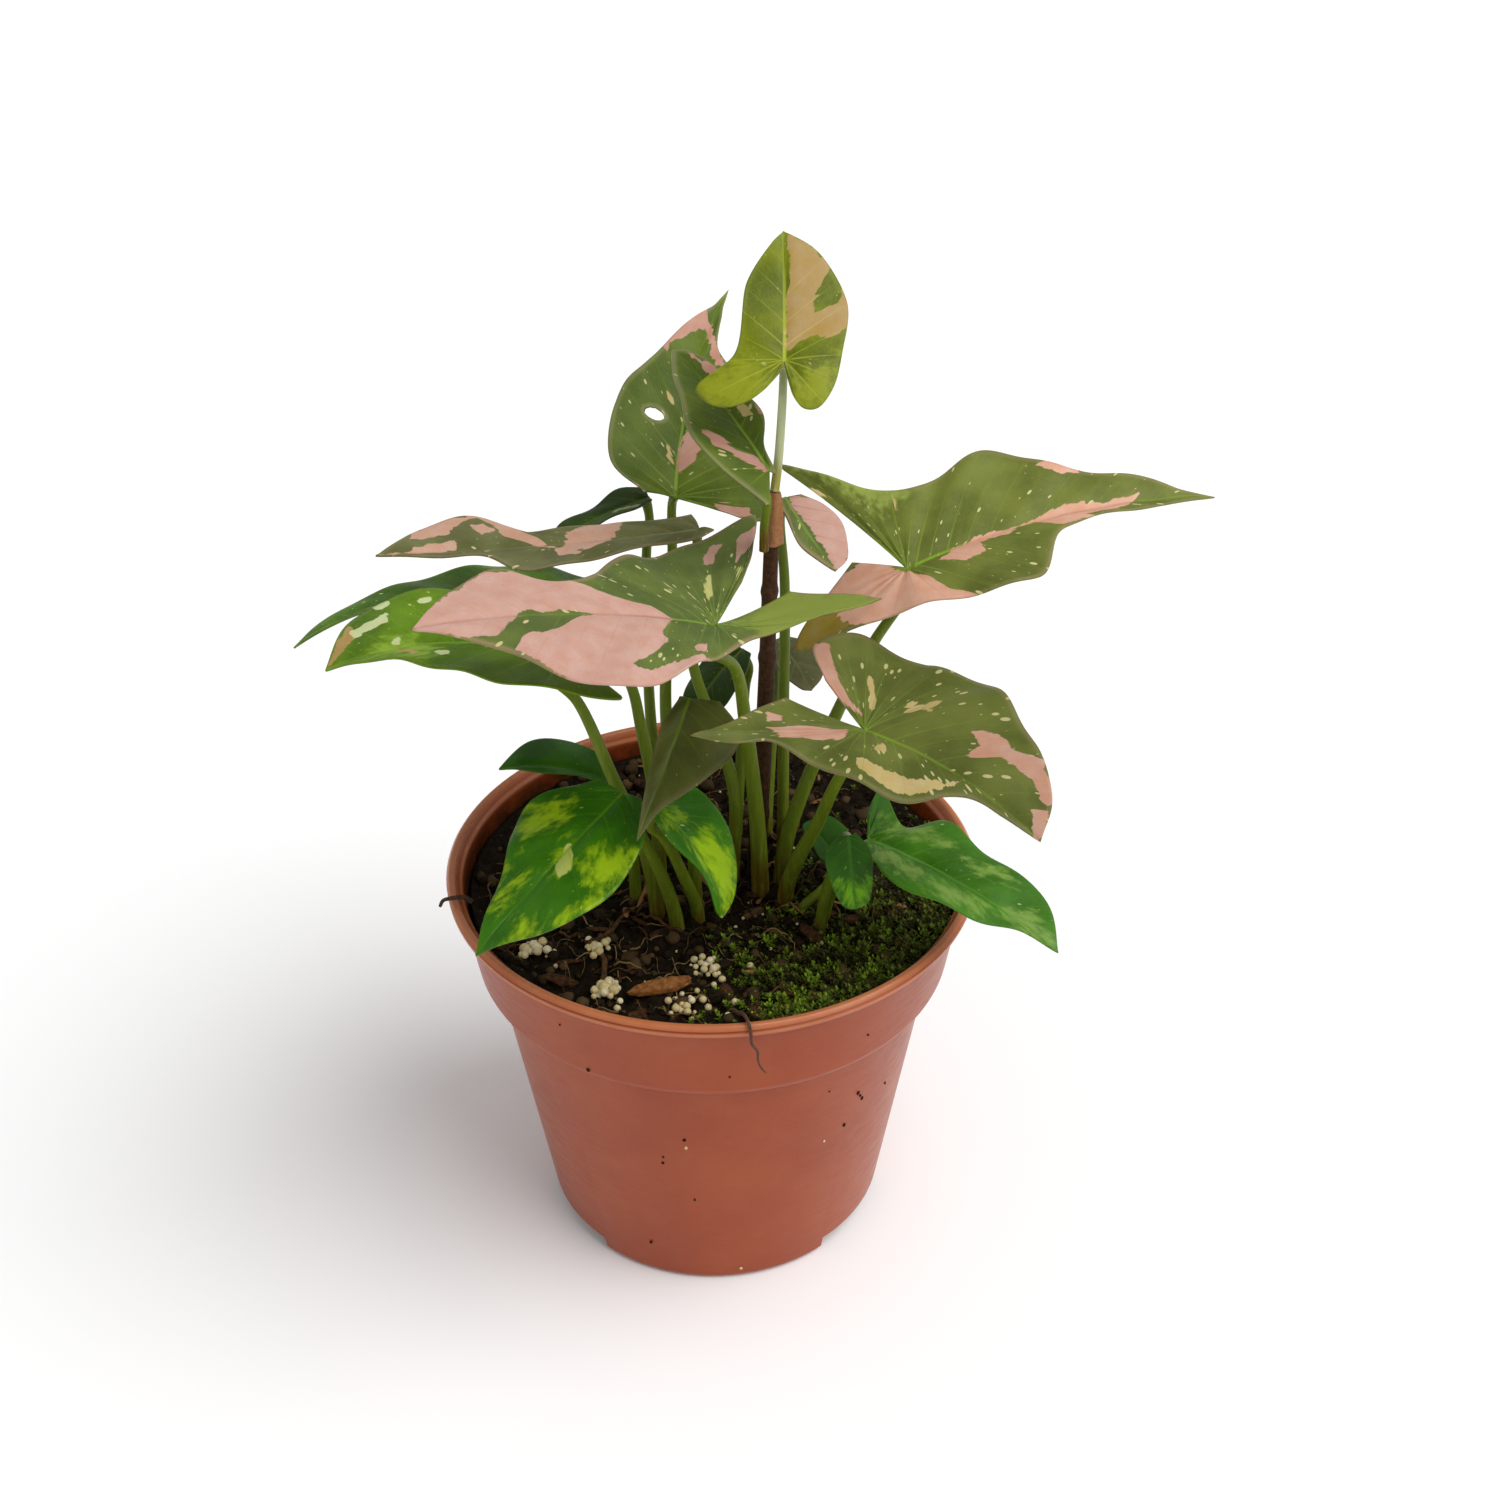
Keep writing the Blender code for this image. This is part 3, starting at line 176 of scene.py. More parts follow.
LEAVES["window"] = dict(
    joint=(-7.5, 26.5, 169), lie=(88, 36, 12), length=59,
    turn=(9, -21, 5), form=(9, 1.5, 0, 0.6),
    left=[(56, 0.5), (52.5, 1.3), (47.5, 3.9), (29.5, 11.5), (23, 15), (6, 15), (0, 7)],
    right=[(56, 0.4), (53, 0.8), (50, 1.4), (41, 3.3), (31.5, 11), (13.5, 16.5), (-4, 19.5), (-0.5, 3.5)],
    petiole=[(-8.5, 14, 88), (-10.5, 20, 122), (-8.5, 25.5, 152)],
    radii=(1.7, PETIOLE_TOP), look="dusky", window=((18.5, 6.8), (2.4, 1.35), 80),
    pink=[[(34, 7), (36, 10), (43, 7), (52, 3), (46, 1), (41, 4), (38, 7)],
          [(47, 2), (47, 0), (36, -6), (36, -4)], [(6, 0), (12, 0), (17, -1), (17, -3), (12, -5), (7, -2)],
          [(5, 18), (4, 14.5), (2, 10.5), (-1, 6), (0, 14)],
          [(-1, -8), (-1, -11), (-2, -16), (-4, -17), (-3, -10)]],
    pale=[[(25, 5), (24, 3), (22, 3), (23, 5)], [(12, 3), (11, 2), (8, 1), (9, 3)]])
LEAVES["left_narrow"] = dict(
    joint=(-13.5, 33.5, 165.5), lie=(203, -7, 2), length=25,
    turn=(18, 3, 2), form=(11, 0.5, 0, 0.4),
    left=[(19.5, 4), (11.5, 3.5), (5.5, 4.5), (0, 2)],
    right=[(20, 4), (11.5, 4.5), (4.5, 6.5), (-0.5, 4)],
    petiole=[(-12.5, 19, 88), (-14.5, 26, 120), (-14.5, 33, 152)],
    radii=(1.5, PETIOLE_TOP), look="shade",
    pale=[[(9, 2), (4, 4), (3, 3), (8, 1)]])
LEAVES["left_long"] = dict(
    joint=(-2, 18.5, 165.5), lie=(197, 0, 4), length=68.5,
    turn=(-4, -7, -2), form=(4, 1, 0, 0.5),
    left=[(56, 2.5), (47, 4), (38.5, 13.5), (21, 8), (2.5, 5.5), (-2.5, 2)],
    right=[(51, 15.5), (36, 7), (16.5, 8), (9.5, 6), (0, 7)],
    petiole=[(4.7, 1.5, 88), (5.1, 2, 109), (1.1, 5.5, 123), (-4, 11, 138)],
    radii=(1.7, PETIOLE_TOP), look="grey", tone=1.3,
    pink=[[(62, -5), (59, -11), (53, -16), (46, -14), (51, -12), (53, -7), (57, -6)],
          [(68, 0), (63, 0), (58, -3), (52, -4), (52, -1), (60, 1)],
          [(49, -12), (45, -11), (43, -8), (46, -6)],
          [(46, -14), (41, -9), (35, -3), (31, 4), (35, 0), (41, -5)], [(32, 2), (28, 4), (27, 8), (32, 7)],
          [(31, 4), (28, -4), (21, -9), (15, -8), (17, -3), (21, 2), (25, 6)]])
LEAVES["right_large"] = dict(
    joint=(41, 0.5, 165.5), lie=(18, 18, 17), length=70,
    turn=(23, -10, 1), form=(9, 1.5, 5.5, 0.8),
    left=[(66, 0.9), (62.5, 2.2), (58, 5), (41, 11), (27, 20.5), (7, 18), (-11.5, 40.5), (-3, 19)],
    right=[(66, 0.7), (60, 1.5), (50, 2.4), (34, 4), (23, 16), (8, 14.5), (-9, 9), (-27.5, 1), (-8.5, -10)],
    petiole=[(15.7, 0, 88), (17, 0, 99), (24.2, 0, 122.5), (34.5, 0, 148)],
    radii=(2.1, PETIOLE_TOP), look="olive", tone=1.2, left_tone=1.12, speckled=0.85,
    light=[[(-9, 38), (-1, 19), (1, 14), (8, 17), (4, 24), (-6, 38)]],
    pink=[[(6, -2), (11, 0), (18, 1), (25, 0), (36, 2), (45, 1), (53, 2), (49, -1), (42, -2), (34, -3),
           (28, 0), (22, -1), (16, -1), (16, -4), (11, -5)],
          [(34, 14), (38, 14), (43, 10), (45, 9), (39, 10)],
          [(-16, 9), (-11, 9), (-7, 8), (-3, 3), (-1, -1), (3, -5), (5, -10), (10, -16), (2, -14),
           (-6, -11), (-11, -9), (-16, -6), (-17, 2)]],
    pale=[[(-10, 31), (-8, 29), (-6, 24), (-8, 27)], [(5, 19), (5, 16), (4, 13), (4, 16)]],
    brown=[[(-30, 3), (-28, -1), (-22, -5), (-15, -6), (-17, 2), (-22, 4)]])
LEAVES["small_pink"] = dict(
    joint=(16, 13, 175.5), lie=(-58, -32, 1), length=19.5,
    turn=(2, 12, -2), form=(6, 0.5, 0, 0.3),
    left=[(18.5, 4), (11.5, 8), (4.5, 7), (0.5, 3.5)],
    right=[(17, 1.5), (12, 3.5), (5, 2.5), (0, 2.5)],
    petiole=[(16, 9, 88), (16, 12.5, 120), (16, 14, 155)],
    radii=(1.5, PETIOLE_TOP), look="pink",
    pink=[[(0, 1), (3, 7), (9, 9), (16, 7), (20, 2), (19, 0), (13, 1), (7, 1), (3, 0)]])
LEAVES["front_pink"] = dict(
    joint=(2, -25, 166.5), lie=(206, 23, -5), length=62,
    turn=(20, 1, -5), form=(2, 1.5, -8.5, 0.8),
    left=[(53, 6), (30, 23.5), (-11, 5), (-28, 9), (-17, -5.5)],
    right=[(53.5, 8), (41.5, 15), (26, 10.5), (14.5, 21), (-21.5, 35.5), (-10.5, 14)],
    petiole=[(10.8, -3.7, 88), (10.1, -4.6, 106), (7.6, -9, 134.5), (5.6, -13.5, 150)],
    radii=(2.2, PETIOLE_TOP), look="pink", tone=1.05,
    # the light patch is painted light: the back lobe that faces up is painted lighter
    light=[[(-6, 6), (-14, 9), (-28, 12), (-31, 8), (-25, 1), (-17, -8), (-9, -6), (-4, 0)]],
    pink=[[(63, 0), (54, -7), (45, -14), (38, -14), (30, -12), (20, -5.5), (15, -3), (21, 1), (26, 0.4),
           (30, -1), (41, -1), (43, 1), (48, 6), (55, 5)],
          [(44, 7), (35, 5), (27, 0), (20, -4), (13, -4), (9, 0), (15, 6), (14, 9), (18, 12), (26, 18),
           (24, 19), (16, 16), (10, 14), (7, 14), (14, 19), (22, 24), (30, 25), (36, 23), (41, 17),
           (46, 11)], [(10, 10), (7, 9), (8, 12), (10, 12)], [(-6, -22), (-12, -31), (-14, -30), (-10, -24)],
          [(-12, -20), (-16, -29), (-22, -32), (-20, -28), (-16, -24)]],
    pale=[[(-1, -8), (-6, -19), (-7, -19), (-4, -11)], [(-11, -16), (-12, -19), (-13, -18), (-10, -14)],
          [(6, -14), (5, -12), (4, -11), (6, -12)]])
LEAVES["far_left"] = dict(
    joint=(-21.2, 9, 146.8), lie=(172, 26, 13), length=72,
    turn=(62, 3, -1), form=(12, 1.5, 0, 0.6),
    left=[(68, 0.9), (62, 1.8), (57, 3), (38, 11), (14, 14), (-10, 14), (-4, 5)],
    right=[(70, 1), (67, 2.6), (42, 8.5), (14.5, 16.5), (-10, 13), (-4, 5)],
    petiole=[(-12, 2, 88), (-12.5, 2, 107), (-15, 2.5, 125), (-17.5, 3.5, 137)],
    radii=(1.8, PETIOLE_TOP), look="shade", tone=3.2)
LEAVES["left_lower"] = dict(
    joint=(-28.3, -21, 156.7), lie=(179, 19, -2), length=49.3,
    turn=(45, 3, -4), form=(10, 1.5, 0, 0.6),
    left=[(39.5, 3), (26.5, 9.5), (11, 15.5), (-12.5, 10.5), (-5, 5.5)],
    right=[(44.5, 11.5), (28.5, 17.5), (10, 13.5), (-12, 12), (-5, 5)],
    petiole=[(-12, -12.5, 88), (-14.1, -13, 104), (-20.5, -15, 125), (-26.5, -17, 144)],
    radii=(1.9, PETIOLE_TOP), look="fresh", tone=1.15,
    # the light patch is painted sheen: a yellow-green patch where the blade catches the light
    light=[[(24, 3), (30, -3), (38, -3), (40, 1), (33, 4), (26, 8)]],
    pink=[[(49, 0), (47, -6), (44, -11), (43, -6), (46, -2)], [(35, 1), (30, 3), (29, 5), (34, 3)]],
    pale=[[(44, -8), (37, -11), (36, -8), (43, -6)], [(40, -15), (36, -16), (36, -14), (39, -13)],
          [(35, -3), (33, -3), (33, -1), (35, -1)], [(26, 4), (23, 4), (22, 6), (25, 6)],
          [(31, -13), (28, -14), (28, -12), (30, -12)]])
LEAVES["right_front"] = dict(
    joint=(31.2, -35, 148.5), lie=(-33, 0, 0), length=42,
    turn=(25, -9, 25), form=(9, 1, -4, 0.8),
    left=[(38, 7.5), (23.5, 18), (11.5, 24.5), (-13, 22.5), (-18.5, 11), (-12.5, 5.5)],
    right=[(34, 1.8), (26.5, 3), (20, 11.5), (12.5, 16), (-9.5, 20.5), (-17.5, 33.5), (-14.5, 6.5)],
    petiole=[(16.5, -7, 88), (19, -9.5, 99), (22.8, -14, 111), (27.5, -24, 131)],
    radii=(2.0, PETIOLE_TOP), look="olive", tone=0.95, speckled=1.1,
    pink=[[(18, 10), (22, 13), (27, 11), (32, 12), (38, 8), (39, 5), (33, 8), (26, 8), (20, 4), (21, 8)],
          [(37, 3), (39, 5), (42, 1), (41, -1)],
          [(-12, -17), (-9, -11), (-2, -3), (-1, -7), (-4, -12), (-9, -17)],
          [(-14, -14), (-12, -12), (-11, -13), (-13, -16)],
          [(-19, 11), (-17, 14), (-12, 9), (-7, 5), (-2, 3), (-9, 3), (-17, 6)]],
    pale=[[(4, -11), (10, -10), (17, -7), (21, -4), (23, -1), (22, -6), (17, -12), (12, -14), (7, -14)],
          [(5, -3), (7, -3), (8, -5), (6, -6)], [(4, 8), (4, 11), (6, 12), (7, 9)],
          [(7, 9), (7, 13), (9, 15), (9, 10)], [(-7, 13), (-6, 14), (-1, 6), (-3, 6)]])
LEAVES["back_dark"] = dict(
    joint=(7, 27, 131), lie=(219, -25, 4), length=21.5,
    turn=(23, 1, 1), form=(5, 1, 0, 0.4),
    left=[(19, 3), (13.5, 7.5), (5, 6.5), (0, 3)],
    right=[(19, 3), (13, 6.5), (5, 6.5), (0, 3)],
    petiole=[(5.5, 19, 88), (6.5, 24, 106), (7.5, 27.5, 121)],
    radii=(1.4, PETIOLE_TOP), look="shade")
LEAVES["back_olive"] = dict(
    joint=(14.5, 27, 133.5), lie=(-49, -21, 0), length=14.5,
    turn=(22, -2, 0), form=(6, 0, 0, 0.3),
    left=[(13, 3.5), (9, 7), (3.5, 5.5), (0, 2)],
    right=[(13.5, 2.5), (9, 5), (4, 4.5), (0, 2)],
    petiole=[(12.5, 19, 88), (13.5, 24, 107), (14.5, 27.5, 124)],
    radii=(1.3, PETIOLE_TOP), look="grey")
LEAVES["hanging"] = dict(
    joint=(-3.5, -21.5, 147.5), lie=(-105, -22, -1), length=34,
    turn=(6, -6, 0), form=(6, 1.5, 0, 0.5),
    left=[(26, 2.5), (18, 9), (7, 12.5), (0, 6.5)],
    right=[(24.5, 2), (17.5, 3), (8, 3.5), (0, 2)],
    petiole=[(-3.5, -8.5, 88), (-4, -12, 110), (-4.5, -17, 132)],
    radii=(1.6, PETIOLE_TOP), look="olive", tone=0.55, speckled=0.68)
LEAVES["bottom_left"] = dict(
    joint=(-17, -30, 130.5), lie=(232, -14, 1), length=45.5,
    turn=(14, -5, 1), form=(4, 1.5, 0, 0.6),
    left=[(39.5, 5), (29.5, 13.5), (11, 14), (0, 5)],
    right=[(38.5, 4), (29, 8), (12.5, 16), (0, 7)],
    petiole=[(-7.5, -17.5, 88), (-10.5, -21, 104), (-15.5, -27, 121)],
    radii=(1.8, PETIOLE_TOP), look="mottled",
    pale=[[(15.5, -1.5), (18, 2.6), (22, 5), (24, 3.8), (21.5, 0.6)]],
    light=[[(24, -3), (33, -6), (37, -3), (30, -2)], [(27, -12), (31, -8), (26, -8)],
           [(18, -14), (12, -15), (7, -7), (12, -4), (16, -7), (22, -8), (21, -11)],
           [(20, 5), (15, 5), (12, 10), (9, 14), (15, 16), (21, 15), (22, 9)],
           [(21, -1), (15, -1), (21, 4), (25, 3)], [(33, 7), (28, 11), (21, 15), (27, 16), (34, 11)],
           [(42, 4), (36, 2), (32, 7), (36, 9)]])
LEAVES["small_left"] = dict(
    joint=(-20, -9, 118), lie=(168, 25, 2), length=26.5,
    turn=(43, 4, -5), form=(8, 1, 0, 0.4),
    left=[(20, 2), (14, 2.5), (6.5, 2), (-0.5, 1.5)],
    right=[(21, 8), (14, 10), (6.5, 7.5), (0, 2.5)],
    petiole=[(-17, -6.5, 88), (-18, -7.5, 103)],
    radii=(1.5, PETIOLE_TOP), look="deep", tone=1.3)
LEAVES["drooping"] = dict(
    joint=(-11, -28, 125.5), lie=(-30, -21, -2), length=28.5,
    turn=(63, -2, -1), form=(8, 1, 0, 0.3),
    left=[(26.5, 4), (18.5, 9), (2.5, 11.5), (0, 4.5)],
    right=[(26, 2), (16.5, 2.5), (7, 5), (0, 2.5)],
    petiole=[(-3, -14, 88), (-5.5, -19, 101), (-9.5, -25, 116)],
    radii=(1.6, PETIOLE_TOP), look="mottled", tone=1.35,
    pale=[[(27.4, 2), (28.6, 1.8), (29, -0.3), (28, -0.4)]],
    light=[[(8, 0), (11, 6), (19, 9), (25, 6), (29, 1), (21, 0), (14, -1)],
           [(2, -2), (4, 3), (7, 2), (5, -3)]])
LEAVES["spoon"] = dict(
    joint=(29.1, -27, 117.5), lie=(-80, -62, 2), length=16,
    turn=(16, 5, -2), form=(4, 0.5, 0, 0),
    left=[(15, 2.6), (9, 4.3), (3, 4), (-0.5, 1.6)],
    right=[(15, 2.4), (9, 4.7), (3, 5.2), (-0.5, 2.2)],
    petiole=[(24, -17.5, 88), (25.5, -19.5, 100), (27.3, -23.5, 110)],
    radii=(1.3, PETIOLE_TOP), look="deep", tone=1.3,
    light=[[(9, -5), (10, 5), (15, 3), (17, 0), (15, -3)]])
LEAVES["right_bottom"] = dict(
    joint=(33.5, -20, 112), lie=(-35, 1, 0), length=47.5,
    turn=(25, 0, 0), form=(8, 1.5, 0, 0.6),
    left=[(38.5, 9), (21.5, 11), (11, 13.5), (4.5, 7.5), (-7, 17), (-4.5, 7)],
    right=[(39.5, 2.5), (28.5, 8.5), (12, 10.5), (0, 2.5)],
    petiole=[(25, -13.5, 88), (29, -14, 99), (33, -17, 106.5)],
    radii=(1.6, PETIOLE_TOP), look="frosted", tone=1.25,
    light=[[(34, -2), (40, -3), (47, 0), (47, 1.5), (38, 4)], [(-1, 8), (4, 9), (10, 9), (12, 6), (3, 3)],
           [(1, -1), (10, -1), (15, -3), (17, -6), (12, -8), (5, -7)],
           [(16, -7), (21, -3), (31, -2), (31, -6), (24, -9)], [(6, 5), (15, 9), (18, 7), (10, 4)],
           [(20, 6), (28, 10), (32, 8), (25, 3)], [(31, 0), (37, 4), (47, 1), (39, -3)]])
LEAVES["back_low"] = dict(
    joint=(29, -6, 94.5), lie=(123, 22, 1), length=14,
    turn=(5, 1, 0), form=(6, 0, 0, 0.2),
    left=[(13, 2.5), (7.5, 3.5), (4, 4), (0, 2)],
    right=[(13, 4.5), (8, 6.5), (4.5, 5), (0, 2.5)],
    petiole=[(20, -10.5, 86), (24, -9.5, 90)],
    radii=(1.2, PETIOLE_TOP), look="deep")


def smooth_curve(points, count):
    """A smooth curve through the points, in even steps; a stretch counts as the root of its length."""
    points = np.array(points, dtype=float)
    points = np.vstack([2 * points[0] - points[1], points, 2 * points[-1] - points[-2]])
    spacing = np.linalg.norm(np.diff(points, axis=0), axis=1) ** 0.5
    knots = np.concatenate([[0], np.cumsum(np.maximum(spacing, 1e-6))])
    places = np.linspace(knots[1], knots[-2], count)
    first = np.clip(np.searchsorted(knots, places, side="right") - 1, 1, len(points) - 3)

    def blend(a, b, knot_a, knot_b):
        share = ((places - knot_a) / (knot_b - knot_a))[:, None]
        return a * (1 - share) + b * share

    p0, p1, p2, p3 = (points[first + step] for step in (-1, 0, 1, 2))
    k0, k1, k2, k3 = (knots[first + step] for step in (-1, 0, 1, 2))
    a1, a2, a3 = blend(p0, p1, k0, k1), blend(p1, p2, k1, k2), blend(p2, p3, k2, k3)
    return blend(blend(a1, a2, k0, k2), blend(a2, a3, k1, k3), k1, k2)


def look_up(wanted, places, table):
    """Rows of a table that is given at some places, read at the wanted places between them."""
    return np.stack([np.interp(wanted, places, column) for column in np.transpose(table)], -1)


def turned(x, y, turn):
    """A place turned round the Z axis by an angle in radians."""
    return x * math.cos(turn) - y * math.sin(turn), x * math.sin(turn) + y * math.cos(turn)


def ring(radius, height, sides):
    """Places on a level circle round the pot's axis."""
    return [(*turned(radius, 0, FULL_TURN * side / sides), height) for side in range(sides)]


def make_piece(name, vertices, faces, finishes, fields=None, sharp=60.0, weld=0.0, closed=False):
    """A mesh object from millimetre vertices, with its number fields, riding on the plant's body."""
    mesh = bpy.data.meshes.new(name)
    mesh.from_pydata((np.asarray(vertices, dtype=float) * MM).tolist(), [], faces)
    for key, values in (fields or {}).items():
        values = np.asarray(values, dtype=np.float32)
        kind, part = ("FLOAT_VECTOR", "vector") if values.ndim == 2 else ("FLOAT", "value")
        mesh.attributes.new(key, kind, "POINT").data.foreach_set(part, values.ravel())
    if weld or closed:
        work = bmesh.new()
        work.from_mesh(mesh)
        bmesh.ops.remove_doubles(work, verts=work.verts, dist=weld * MM)
        if closed:
            bmesh.ops.recalc_face_normals(work, faces=work.faces)
        work.to_mesh(mesh)
        work.free()
    for finish in finishes:
        mesh.materials.append(finish)
    mesh.shade_smooth()
    mesh.set_sharp_from_angle(angle=math.radians(sharp))
    piece = bpy.data.objects.new(name, mesh)
    bpy.context.scene.collection.objects.link(piece)
    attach(piece, "root")
    return piece


def apply_modifiers(piece):
    """Turns the piece's modifiers into plain mesh."""
    bpy.context.view_layer.update()
    graph = bpy.context.evaluated_depsgraph_get()
    result = bpy.data.meshes.new_from_object(piece.evaluated_get(graph))
    piece.modifiers.clear()
    piece.data = result


def grid_faces(rows, columns, closed=False):
    """Quads of a grid of points; a closed grid also joins the last column to the first."""
    steps = columns if closed else columns - 1
    row, step = np.meshgrid(np.arange(rows - 1), np.arange(steps), indexing="ij")
    following = (step + 1) % columns
    quads = [row * columns + step, row * columns + following,
             (row + 1) * columns + following, (row + 1) * columns + step]
    return np.stack([corner.ravel() for corner in quads], -1)


def stalk_shape(path, radii, sides, flute=0.0, carried=True):
    """Vertices and faces of a round stalk with five faint flutes, given its radius at each ring.

    The direction across is carried along the path, or taken afresh at each ring.
    """
    made = []
    across = Vector((1, 0, 0))
    for index, place in enumerate(path):
        ahead = Vector(path[min(index + 1, len(path) - 1)] - path[max(index - 1, 0)]).normalized()
        across = (across - ahead * across.dot(ahead) if carried else ahead.orthogonal()).normalized()
        beside = ahead.cross(across)
        for side in range(sides):
            turn = FULL_TURN * side / sides
            reach = radii[index] * (1 + flute * math.cos(5 * turn + 0.7))
            made.append(tuple(Vector(place) + (across * math.cos(turn) + beside * math.sin(turn)) * reach))
    faces = grid_faces(len(path), sides, closed=True).tolist()
    return made, faces + [list(range(sides))[::-1], list(range(len(made) - sides, len(made)))]


def tube(name, route, radius_at, sides, step, finish, flute=0.0):
    """A round stem along a smooth curve, with its own radius at each share of its length.

    Its field climb is the share of the length.
    """
    length = sum(math.dist(a, b) for a, b in zip(route, route[1:]))
    count = max(4, round(length / step) + 1)
    radii = [radius_at(index / (count - 1)) for index in range(count)]
    vertices, faces = stalk_shape(smooth_curve(route, count), radii, sides, flute)
    fields = {"climb": np.repeat(np.linspace(0, 1, count), sides)}
    return make_piece(name, vertices, faces, [finish], fields, closed=True)


def midrib_frame(droop, sway, roll):
    """Directions along a midrib, to its left, and out of the upper face, from its angles in radians."""
    along = np.stack([np.cos(droop) * np.cos(sway), np.cos(droop) * np.sin(sway), -np.sin(droop)], -1)
    left = np.stack([-np.sin(sway), np.cos(sway), 0 * sway], -1)
    up = np.cross(along, left)
    roll = np.expand_dims(roll, -1)
    return along, left * np.cos(roll) + up * np.sin(roll), up * np.cos(roll) - left * np.sin(roll)


def leaf_frame(leaf):
    """The midrib's directions at the joint."""
    heading, rise, roll = np.radians(leaf["lie"])
    return midrib_frame(-rise, heading, roll)


def leaf_points(leaf, along, across, side):
    """Lifts flat leaf places (mm along the midrib, mm out to one side) into the bent leaf."""
    length = leaf["length"]
    # the curved midrib, from behind the back lobes to beyond the tip
    place = np.linspace(-0.8, 1.1, 480) * length
    bent = np.radians(leaf["turn"]) * np.clip(place / length, 0, None)[:, None]
    ahead = midrib_frame(*bent.T)[0]
    steps = (ahead[1:] + ahead[:-1]) / 2 * (place[1] - place[0])
    route = np.vstack([np.zeros(3), np.cumsum(steps, axis=0)])
    centre = look_up(along, place, route - look_up(0, place, route))
    droop, sway, _ = look_up(along, place, bent).T
    twist = math.radians(leaf["turn"][2]) * np.clip(along / length, 0, None)
    _, left, up = midrib_frame(droop, sway, twist)
    # the fold along the midrib, the cupped halves and the drooping lobes
    fold, cup, lobe, _ = leaf["form"]
    fold = math.radians(fold)
    outward = np.clip(across, 0, None) / (HALF_WIDTH_SHARE * length)
    behind = np.clip(-along, 0, None) / (LOBE_SHARE * length)
    height = across * math.sin(fold) - cup * outward ** 2 - lobe * behind ** 1.5
    local = centre + left * (side * across * math.cos(fold))[:, None] + up * height[:, None]
    return np.array(leaf["joint"]) + local @ np.array(leaf_frame(leaf))


def bearing(places):
    """Angle of flat leaf places to the midrib, from a little right of it round through the left."""
    angle = np.arctan2(places[:, 1], places[:, 0])
    return np.where(angle < -math.pi / 2, angle + FULL_TURN, angle)


def vein_grid(leaf, side_name):
    """Flat places of the lines from midrib to margin on one side, and each line's vein number.

    In front, the veins leave the midrib. In the lobe they fan out from the joint, up to the
    margin point that lies furthest round. Whole vein numbers are the side veins themselves.
    """
    length = leaf["length"]
    margin = smooth_curve([(length, 0)] + leaf[side_name], MARGIN_POINTS)
    reach = np.concatenate([[0], np.cumsum(np.linalg.norm(np.diff(margin, axis=0), axis=1))])
    angle = bearing(margin)
    fan_start, fan_end = reach[np.argmax(angle > math.radians(FAN_ANGLE))], reach[np.argmax(angle)]
    front_columns = max(5, round(length / VEIN_SPACING)) * REFINE
    fan_columns = max(1, round((fan_end - fan_start) / VEIN_SPACING)) * REFINE
    stations = np.concatenate([np.linspace(0, fan_start, front_columns + 1),
                               np.linspace(fan_start, fan_end, fan_columns + 1)[1:]])
    ends = look_up(stations, reach, margin)
    angle = bearing(ends)
    distance = np.linalg.norm(ends, axis=1)
    for column in range(front_columns + 1, len(stations)):
        angle[column] = max(angle[column], angle[column - 1] + math.radians(FAN_STEP / REFINE))
        ends[column] = turned(distance[column], 0, angle[column])
    roots = np.zeros_like(ends)
    roots[:front_columns + 1, 0] = length * (1 - np.linspace(0, 1, front_columns + 1)) ** VEIN_LEAN
    share = np.linspace(0, 1, BLADE_ROWS + 1)[:, None, None]
    return roots * (1 - share) + ends * share, np.arange(len(stations)) / REFINE


def inside_distance(places, outline):
    """Distance from each flat place to a patch's outline, positive inside the patch."""
    outline = np.array(outline, dtype=float)
    nearest = np.full(len(places), FAR)
    inside = np.zeros(len(places), dtype=bool)
    for start, end in zip(outline, np.roll(outline, -1, axis=0)):
        edge = end - start
        share = np.clip((places - start) @ edge / (edge @ edge), 0, 1)
        nearest = np.minimum(nearest, np.linalg.norm(places - start - share[:, None] * edge, axis=1))
        spans = (start[1] > places[:, 1]) != (end[1] > places[:, 1])
        rise = edge[1] if abs(edge[1]) > 1e-9 else 1e-9
        inside ^= spans & (places[:, 0] < start[0] + (places[:, 1] - start[1]) / rise * edge[0])
    return np.where(inside, nearest, -nearest)


def open_window(flat, quads, window):
    """Opens an oval hole in one half: quads inside it go, and the others reach up to its rim.

    Also gives each place's distance to the rim, in mm.
    """
    middle, half_sizes, lean = window
    away = flat - np.array(middle)
    oval = np.stack(turned(*away.T, -math.radians(lean)), -1) / half_sizes
    reach = np.maximum(np.linalg.norm(oval, axis=1), 0.05)
    inside = reach < 1
    kept = quads[~inside[quads].all(axis=1)]
    flat = np.where(inside[:, None], np.array(middle) + away / reach[:, None], flat)
    return flat, kept, np.where(inside, 0.0, np.linalg.norm(away, axis=1) * (1 - 1 / reach))


def relief_size(leaf):
    """Share of the full relief that a blade of this length has."""
    return min(1.0, leaf["length"] / FULL_GROWN)


